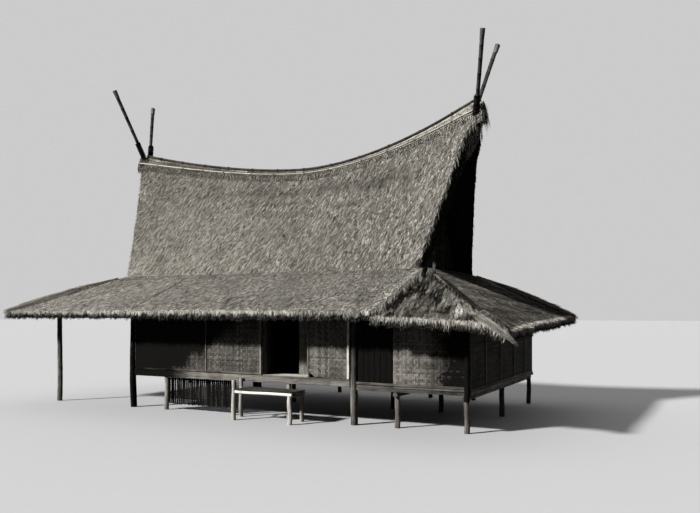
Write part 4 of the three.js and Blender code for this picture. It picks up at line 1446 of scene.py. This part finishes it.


# the front wall's level battens get the wall's painted shadow at their left end
battenPlan = {"thick": 0.016, "stand": 0.017, "width": 0.04, "inset": 0.02, "weathered": 0.32,
              "uprightTone": 0.44, "footTone": 0.35, "headTone": 0.45}
edgeBattens = [  # sheet, foot, head, width, tone
    ("front_panel", (1.055, 0.0), (1.055, 1.57), 0.055, 0.86),
    ("front_panel", (0.03, 0.2), (0.03, 1.57), 0.04, 0.5),
    ("front_wall_left", (3.955, 0.0), (3.955, 1.57), 0.045, 0.6),
]
recessSlats = {"x": 0.99, "firstY": -2.735, "step": 0.055, "count": 9, "z": (1.012, 2.59),
               "size": (0.014, 0.044), "tone": 0.5, "paintedShadeInwards": 0.09}


def batten(name, start, end, seed, width, tone):
    # a split-bamboo batten on a wall sheet; start and end are distances across and up
    origin, across, out = sheetFrame(wallSheets[name])
    out = out * battenPlan["stand"]
    first, last = (origin + across * place[0] + upAxis * place[1] + out for place in (start, end))
    rng = np.random.default_rng(seed)
    t = np.linspace(0, 1, max(4, int(np.linalg.norm(last - first) / 0.12)))
    line = first + (last - first) * t[:, None]
    size = (battenPlan["thick"], width)
    if abs((last - first)[2]) > 0.5 and abs(across[0]) > 0.5:  # an upright one on a front or back wall
        size = (width, battenPlan["thick"])
    scale = 1 + rng.normal(0, 0.05, (len(t), 8))
    stationTone = rng.normal(0, 0.03, len(t))
    return sweep(line, barSection(*size, 0.005), scale, tone, seed, stationTone=stationTone)


# painted shadow over the left end, as on the front wall
def paintShadowOnLeftEnd(part, change):
    part["tone"] = part["tone"] - change * (1 - fade(part["points"][:, 0], -1.9, -1.1))


def buildBattens():
    parts = []
    for name, plan in wallSheets.items():
        if plan["battens"] is None:
            continue
        width, height = plan["size"]
        inset = battenPlan["inset"]
        rows = [((a, 0.03), (a, height - inset), battenPlan["uprightTone"]) for a in plan["battens"]]
        if not plan["torn"]:
            rows.append(((inset, 0.02), (width - inset, 0.02), battenPlan["footTone"]))
        rows.append(((inset, height - 0.05), (width - inset, height - 0.05), battenPlan["headTone"]))
        for start, end, tone in rows:
            part = batten(name, start, end, 200 + len(parts), battenPlan["width"], tone)
            # painted shadow over the left end of the front wall's level battens
            if name == "front_wall_left" and start[1] == end[1]:
                paintShadowOnLeftEnd(part, battenPlan["weathered"])
            parts.append(part)
    for seed, (name, start, end, width, tone) in enumerate(edgeBattens, start=290):
        parts.append(batten(name, start, end, seed, width, tone))
    makePiece("wall_battens", parts, bambooSkin)
    slats = []
    x, (bottom, top) = recessSlats["x"], recessSlats["z"]
    for index in range(recessSlats["count"]):
        y = recessSlats["firstY"] + index * recessSlats["step"]
        # darker towards the inside: painted shade in the recess
        tone = recessSlats["tone"] - recessSlats["paintedShadeInwards"] * index + 0.06 * (index % 3 - 1)
        slats.append(bar((x, y, bottom), (x, y, top), *recessSlats["size"], 300 + index, tone))
    makePiece("recess_side_slats", slats, bambooSkin)
    print("battens ready")


buildWeaving()
buildBattens()


# Posts, beams and stilts

postPlans = {
    "corner_post_front_left": {"at": (-3.115, -2.755), "z": (0.0, 2.597), "radius": 0.088, "tone": 0.40},
    "corner_post_back_left": {"at": (-3.115, 2.755), "z": (0.0, 2.597), "radius": 0.088, "tone": 0.30},
    "middle_post_front": {"at": (3.392, -2.75), "z": (0.0, 2.597), "radius": 0.078, "tone": 0.52},
    "corner_pole_front_right": {"at": (5.985, -2.81), "z": (0.66, 2.372), "radius": 0.06, "tone": 0.18},
}


def buildPosts():
    for seed, (name, plan) in enumerate(postPlans.items(), start=400):
        (x, y), (bottom, top) = plan["at"], plan["z"]
        post = log((x, y, bottom), (x, y, top), plan["radius"], seed=seed, tone=plan["tone"])
        # the corner posts are near black: painted shade
        wood = paintedShadeLog
        if name.startswith("middle"):
            wood = logWood
            # darker above the sill: painted shade under the eave
            shadeAboveSill = fade(post["points"][:, 2], 0.85, 1.05)
            post["tone"] = post["tone"] - 0.22 * shadeAboveSill
        makePiece(name + "_log", [post], wood, smooth=True, replaces=[name])


sillPlan = {
    "x": (-3.03, 3.31),
    # the sill board gets the front wall's painted shadow at its left end
    "board": {"y": -2.815, "z": 0.92, "size": (0.03, 0.16), "tone": 0.36, "weathered": 0.56},
    "beam": {"y": -2.755, "z": 0.89, "size": (0.088, 0.098), "tone": 0.3},
    "stilts": (-2.0, 0.11, 1.7), "stiltY": -2.76, "stiltTop": 0.85, "stiltTone": 0.5,
}
bearerPlan = {
    "x": (-3.18, 3.28), "z": 0.889, "radius": 0.05, "tone": 0.45,
    "stilts": (-2.89, 0.11, 3.11), "stiltTop": 0.92, "stiltTone": 0.42,
}
annexBearerPlan = {
    "y": (-2.83, 2.78), "z": 0.7245, "radius": 0.054, "tone": 0.5,
    "stilts": (-2.69, 0.0, 2.67), "stiltTop": 0.74, "stiltTone": 0.46,
}
bayPlan = {"x": -5.91, "halfY": 2.81, "z": 2.542, "size": (0.1, 0.108), "tone": 0.42,
           "postY": 2.76, "postTop": 2.5, "postRadius": (0.066, 0.062), "postTone": 0.45}


stiltRadii = (0.06, 0.055)  # at the foot and at the top


def stiltRow(places, plan, seed):
    top, tone = plan["stiltTop"], plan["stiltTone"]
    return [log((x, y, 0), (x, y, top), *stiltRadii, seed + index, tone)
            for index, (x, y) in enumerate(places)]


def buildUnderFloor():
    left, right = sillPlan["x"]
    board, beam = sillPlan["board"], sillPlan["beam"]
    sill = [
        bar((left, board["y"], board["z"]), (right, board["y"], board["z"]), *board["size"], 420,
            board["tone"], 0.006, 0.02),
        bar((left, beam["y"], beam["z"]), (right, beam["y"], beam["z"]), *beam["size"], 421, beam["tone"]),
    ]
    paintShadowOnLeftEnd(sill[0], board["weathered"])
    sill += stiltRow([(x, sillPlan["stiltY"]) for x in sillPlan["stilts"]], sillPlan, 430)
    makePiece("front_sill_board", sill, paleLog, replaces=["front_sill"])

    plan = bearerPlan
    for index, (name, y) in enumerate({"bearer_middle": 0.0, "bearer_back": 2.69}.items()):
        ends = [(x, y, plan["z"]) for x in plan["x"]]
        beam = log(*ends, plan["radius"], seed=440 + index, tone=plan["tone"], rough=0.03)
        row = stiltRow([(x, y) for x in plan["stilts"]], plan, 450 + index * 5)
        makePiece(name + "_logs", [beam] + row, logWood, smooth=True, replaces=[name])

    plan = annexBearerPlan
    for index, (name, x) in enumerate({"annex_bearer_left": 4.405, "annex_bearer_right": 5.945}.items()):
        ends = [(x, y, plan["z"]) for y in plan["y"]]
        beam = log(*ends, plan["radius"], seed=460 + index, tone=plan["tone"], rough=0.02, wander=0.0)
        row = stiltRow([(x, y) for y in plan["stilts"]], plan, 470 + index * 5)
        makePiece(name + "_logs", [beam] + row, logWood, smooth=True, replaces=[name])

    x, half = bayPlan["x"], bayPlan["halfY"]
    bay = [bar((x, -half, bayPlan["z"]), (x, half, bayPlan["z"]), *bayPlan["size"], 480, bayPlan["tone"])]
    for index, y in enumerate((-bayPlan["postY"], bayPlan["postY"])):
        bay.append(log((x, y, 0), (x, y, bayPlan["postTop"]), *bayPlan["postRadius"], 482 + index,
                       bayPlan["postTone"]))
    makePiece("bay_frame_left_logs", bay, logWood, replaces=["bay_frame_left"])


edgeBars = [  # from, to, width, height, tone
    # the two annex front bars are dark: painted shade
    ((3.48, -2.822, 0.935), (5.93, -2.822, 0.935), 0.026, 0.05, 0.22),  # annex front, upper
    ((3.475, -2.816, 0.815), (6.0, -2.816, 0.815), 0.03, 0.07, 0.18),  # annex front, lower
    ((6.035, -2.74, 0.815), (6.035, 2.79, 0.815), 0.03, 0.07, 0.4),
    ((3.32, 2.816, 0.815), (6.0, 2.816, 0.815), 0.03, 0.07, 0.4),
    ((-3.03, 2.816, 0.95), (3.3, 2.816, 0.95), 0.03, 0.11, 0.4),
    ((-3.206, -2.66, 0.95), (-3.206, 2.66, 0.95), 0.03, 0.11, 0.4),
    ((3.322, -2.70, 0.925), (3.322, 2.755, 0.925), 0.02, 0.146, 0.4),  # riser between the two floors
]
porchSlats = {"x": (0.99, 2.2), "firstY": -2.78, "step": 0.05, "count": 10, "z": 1.006,
              "size": (0.042, 0.011), "tone": 0.72}


def buildEdges():
    edges = [bar(start, end, width, height, seed, tone)
             for seed, (start, end, width, height, tone) in enumerate(edgeBars, start=490)]
    makePiece("floor_edge_bars", edges, paleLog)
    left, right = porchSlats["x"]
    slats = []
    for index in range(porchSlats["count"]):
        y, z = porchSlats["firstY"] + index * porchSlats["step"], porchSlats["z"]
        tone = porchSlats["tone"] + 0.05 * (index % 3 - 1)
        slats.append(bar((left, y, z), (right, y, z), *porchSlats["size"], 500 + index, tone, 0.003))
    makePiece("porch_slats", slats, bambooSkin)


stepPlan = {
    "frontY": -3.40, "backY": -2.8805, "frontLeftX": 0.6, "backLeftX": 0.43, "rightX": 2.12, "barEndX": 2.18,
    "tallTop": 0.92, "lowTop": 0.655, "crossZ": 0.605, "barRadius": 0.040, "crossRadius": 0.032, "tone": 0.68,
}
# the slats are dark: painted shade
stepSlats = {"x": (0.66, 2.18), "z": 0.710, "overhang": 0.014, "count": 10, "size": (0.052, 0.024),
             "tone": 0.18}


def buildStep():
    front, back, tone = stepPlan["frontY"], stepPlan["backY"], stepPlan["tone"]
    frontLeft, backLeft, right = stepPlan["frontLeftX"], stepPlan["backLeftX"], stepPlan["rightX"]

    def leg(x, y, top, radius, endRadius, seed, change, rough):
        return log((x, y, 0), (x, y, top), radius, endRadius, seed, tone + change, rough=rough)

    def level(start, end, z, radius, seed, change, wander):
        return log((*start, z), (*end, z), radius, seed=seed, tone=tone + change, rough=0.03, wander=wander)

    tall, low, crossZ = stepPlan["tallTop"], stepPlan["lowTop"], stepPlan["crossZ"]
    barRadius, crossRadius, barEnd = stepPlan["barRadius"], stepPlan["crossRadius"], stepPlan["barEndX"]
    # the front bar is lighter and the back and cross poles darker: painted light and shade
    frame = [
        leg(frontLeft, front, tall, 0.052, 0.046, 510, 0, 0.07),
        leg(backLeft, back, tall, 0.05, 0.046, 511, -0.1, 0.07),
        leg(right, front, low, 0.058, 0.05, 512, 0, 0.08),
        leg(right, back, low, 0.05, 0.046, 513, -0.2, 0.05),
        level((frontLeft, front), (barEnd, front), low, barRadius, 514, 0.16, 0.002),
        level((backLeft, back), (barEnd, back), low, barRadius, 515, -0.1, 0.002),
        level((frontLeft, front), (backLeft, back), crossZ, crossRadius, 516, -0.2, 0.001),
        level((right, front), (right, back), crossZ, crossRadius, 517, -0.2, 0.001),
    ]
    makePiece("step_frame_poles", frame, paleLog, smooth=True, replaces=["step_frame"])
    (left, right), z, overhang = stepSlats["x"], stepSlats["z"], stepSlats["overhang"]
    slats = []
    for index, y in enumerate(np.linspace(front - overhang, back + overhang, stepSlats["count"])):
        tone = stepSlats["tone"] + 0.04 * (index % 3)
        slats.append(bar((left, y, z), (right, y, z), *stepSlats["size"], 520 + index, tone))
    makePiece("step_slats", slats, bambooSkin, replaces=["step_top"])


screenPlan = {"x": (-2.09, -0.03), "step": 0.062, "y": -2.668, "bottom": 0.13, "uneven": 0.05, "top": 0.939,
              # the slats are near black: painted shade under the floor
              "size": (0.055, 0.012), "tone": 0.01, "toneSpread": 0.06,
              "railY": -2.659, "railZ": (0.3, 0.78), "railSize": (0.010, 0.04), "railTone": 0.4}


def buildScreen():
    rng = np.random.default_rng(530)
    left, right = screenPlan["x"]
    slats = []
    for index, x in enumerate(np.arange(left, right, screenPlan["step"])):
        low = screenPlan["bottom"] + rng.uniform(0, screenPlan["uneven"])
        tone = screenPlan["tone"] + rng.normal(0, screenPlan["toneSpread"])
        foot, head = (x, screenPlan["y"], low), (x, screenPlan["y"], screenPlan["top"])
        slats.append(bar(foot, head, *screenPlan["size"], 531 + index, tone))
    for seed, z in enumerate(screenPlan["railZ"], start=580):
        start, end = (-2.11, screenPlan["railY"], z), (right, screenPlan["railY"], z)
        slats.append(bar(start, end, *screenPlan["railSize"], seed, screenPlan["railTone"]))
    makePiece("floor_screen_slats", slats, bambooSkin, replaces=["floor_screen"])


doorPlan = {
    "x": (3.5, 4.318), "z": (0.974, 2.29), "y": -2.783,
    # the boards are near black: painted shade under the eave
    "boards": 6, "gap": 0.006, "thick": 0.026, "tone": 0.06,
    "ledgeX": (3.54, 4.278), "ledgeY": -2.7665, "ledgeZ": (1.2, 2.05), "ledgeSize": (0.008, 0.09),
    "ledgeTone": 0.45,
    "hinge": [(3.518, -2.78, 0.9603), (3.518, -2.78, 2.3037)], "hingeRadius": 0.012, "hingeTone": 0.4,
}


def buildDoor():
    (left, right), (bottom, top), y = doorPlan["x"], doorPlan["z"], doorPlan["y"]
    width = (right - left) / doorPlan["boards"]
    size = (width - doorPlan["gap"], doorPlan["thick"])
    parts = []
    for index in range(doorPlan["boards"]):
        x = left + (index + 0.5) * width
        tone = doorPlan["tone"] + 0.05 * (index % 3 - 1)
        foot, head = (x, y, bottom + 0.004 * (index % 2)), (x, y, top)
        parts.append(bar(foot, head, *size, 600 + index, tone, 0.004, 0.01, 0.0))
    for seed, z in enumerate(doorPlan["ledgeZ"], start=610):
        ends = [(x, doorPlan["ledgeY"], z) for x in doorPlan["ledgeX"]]
        parts.append(bar(*ends, *doorPlan["ledgeSize"], seed, doorPlan["ledgeTone"], 0.003, 0.01))
    parts.append(log(*doorPlan["hinge"], doorPlan["hingeRadius"], seed=615, tone=doorPlan["hingeTone"],
                     sides=8, wander=0.0))
    makePiece("annex_door_boards", parts, darkBoards, body="door", replaces=["annex_door"])


rafterPlan = {"radius": 0.03, "tone": 0.35, "spacing": 0.4, "step": 0.75}


def buildRafters():
    # bamboo rafters under the four aprons
    lines = []
    for side in (-1, 1):
        for x in np.arange(-4.5, 4.55, rafterPlan["step"]):
            low = (x, side * 3.52, 2.335)
            if x > 4.0 and side < 0:
                low = (x, side * 3.45, 2.165)  # under the sunken corner
            lines.append([(x, side * 1.62, 3.2), low])
    for side in (-1, 1):
        endZ = 2.33 if side < 0 else 2.08
        for y in np.arange(-1.5, 1.55, rafterPlan["step"]):
            lines.append([(side * 4.75, y, 3.18), (side * 6.85, y, endZ)])
    canes = [bamboo(line, rafterPlan["radius"], seed=seed, tone=rafterPlan["tone"],
                    spacing=rafterPlan["spacing"], sides=6) for seed, line in enumerate(lines, start=700)]
    makePiece("rafters", canes, bambooSkin, smooth=True)


buildPosts()
buildUnderFloor()
buildEdges()
buildStep()
buildScreen()
buildDoor()
buildRafters()
print("posts, floor edge, step, screen, door and rafters ready")


# Studio: pale floor, soft light

studioPlan = {
    "floorSize": 400.0,
    "floorColour": (0.335, 0.335, 0.335),
    "floorBounce": (0.06, 0.06, 0.06),  # what the floor throws back, so that the eaves' shade stays deep
    "backdrop": (0.60, 0.60, 0.60),
    "brightTowards": (-0.55, 0.835, 0.0),
    "brightFill": (1.4, 1.4, 1.4),
    "dimFill": (0.085, 0.085, 0.085),
    "sunDirection": (19.5, 27.0, -21.5),
    "sunStrength": 8.6,
    "sunAngle": 5.0,  # degrees
}


def addFloor():
    half = studioPlan["floorSize"] / 2
    corners = [(-half, -half, 0), (half, -half, 0), (half, half, 0), (-half, half, 0)]
    mesh = bpy.data.meshes.new("floor")
    mesh.from_pydata(corners, [], [(0, 1, 2, 3)])
    material, tree, shader = newMaterial("floor_paper", 1.0, sheen=0.0)
    shade = put(tree, "ShaderNodeTexNoise", {"Scale": 0.4, "Detail": 2.0}).outputs[0]
    low = tuple(value * 0.96 for value in studioPlan["floorColour"])
    paper = toneRamp(tree, shade, [(0.3, low), (0.7, studioPlan["floorColour"])])
    bounced = tree.nodes.new("ShaderNodeLightPath").outputs["Is Diffuse Ray"]
    tree.links.new(darken(tree, paper, bounced, studioPlan["floorBounce"]), shader.inputs["Base Color"])
    mesh.materials.append(material)
    floor = bpy.data.objects.new("floor", mesh)
    bpy.context.scene.collection.objects.link(floor)


def addKeyLight():
    data = bpy.data.lights.new("key", "SUN")
    data.energy = studioPlan["sunStrength"]
    data.angle = math.radians(studioPlan["sunAngle"])
    holder = bpy.data.objects.new("key", data)
    holder.rotation_euler = Vector(studioPlan["sunDirection"]).to_track_quat("-Z", "Y").to_euler()
    bpy.context.scene.collection.objects.link(holder)


def addWorld():
    # an even pale backdrop; the fill light comes mostly from behind the house
    world = bpy.data.worlds.new("studio")
    world.use_nodes = True
    tree = world.node_tree
    direction = tree.nodes.new("ShaderNodeTexCoord").outputs["Generated"]
    ahead = put(tree, "ShaderNodeVectorMath", {0: direction, 1: studioPlan["brightTowards"]},
                operation="DOT_PRODUCT").outputs["Value"]
    bright = smoothRange(tree, ahead, -0.3, 0.6)
    fill = darken(tree, (*studioPlan["dimFill"], 1.0), bright, studioPlan["brightFill"])
    seen = tree.nodes.new("ShaderNodeLightPath").outputs["Is Camera Ray"]
    tree.links.new(darken(tree, fill, seen, studioPlan["backdrop"]), tree.nodes["Background"].inputs["Color"])
    bpy.context.scene.world = world


addFloor()
addWorld()
addKeyLight()
bpy.context.scene.view_settings.view_transform = "Standard"
print("studio ready")
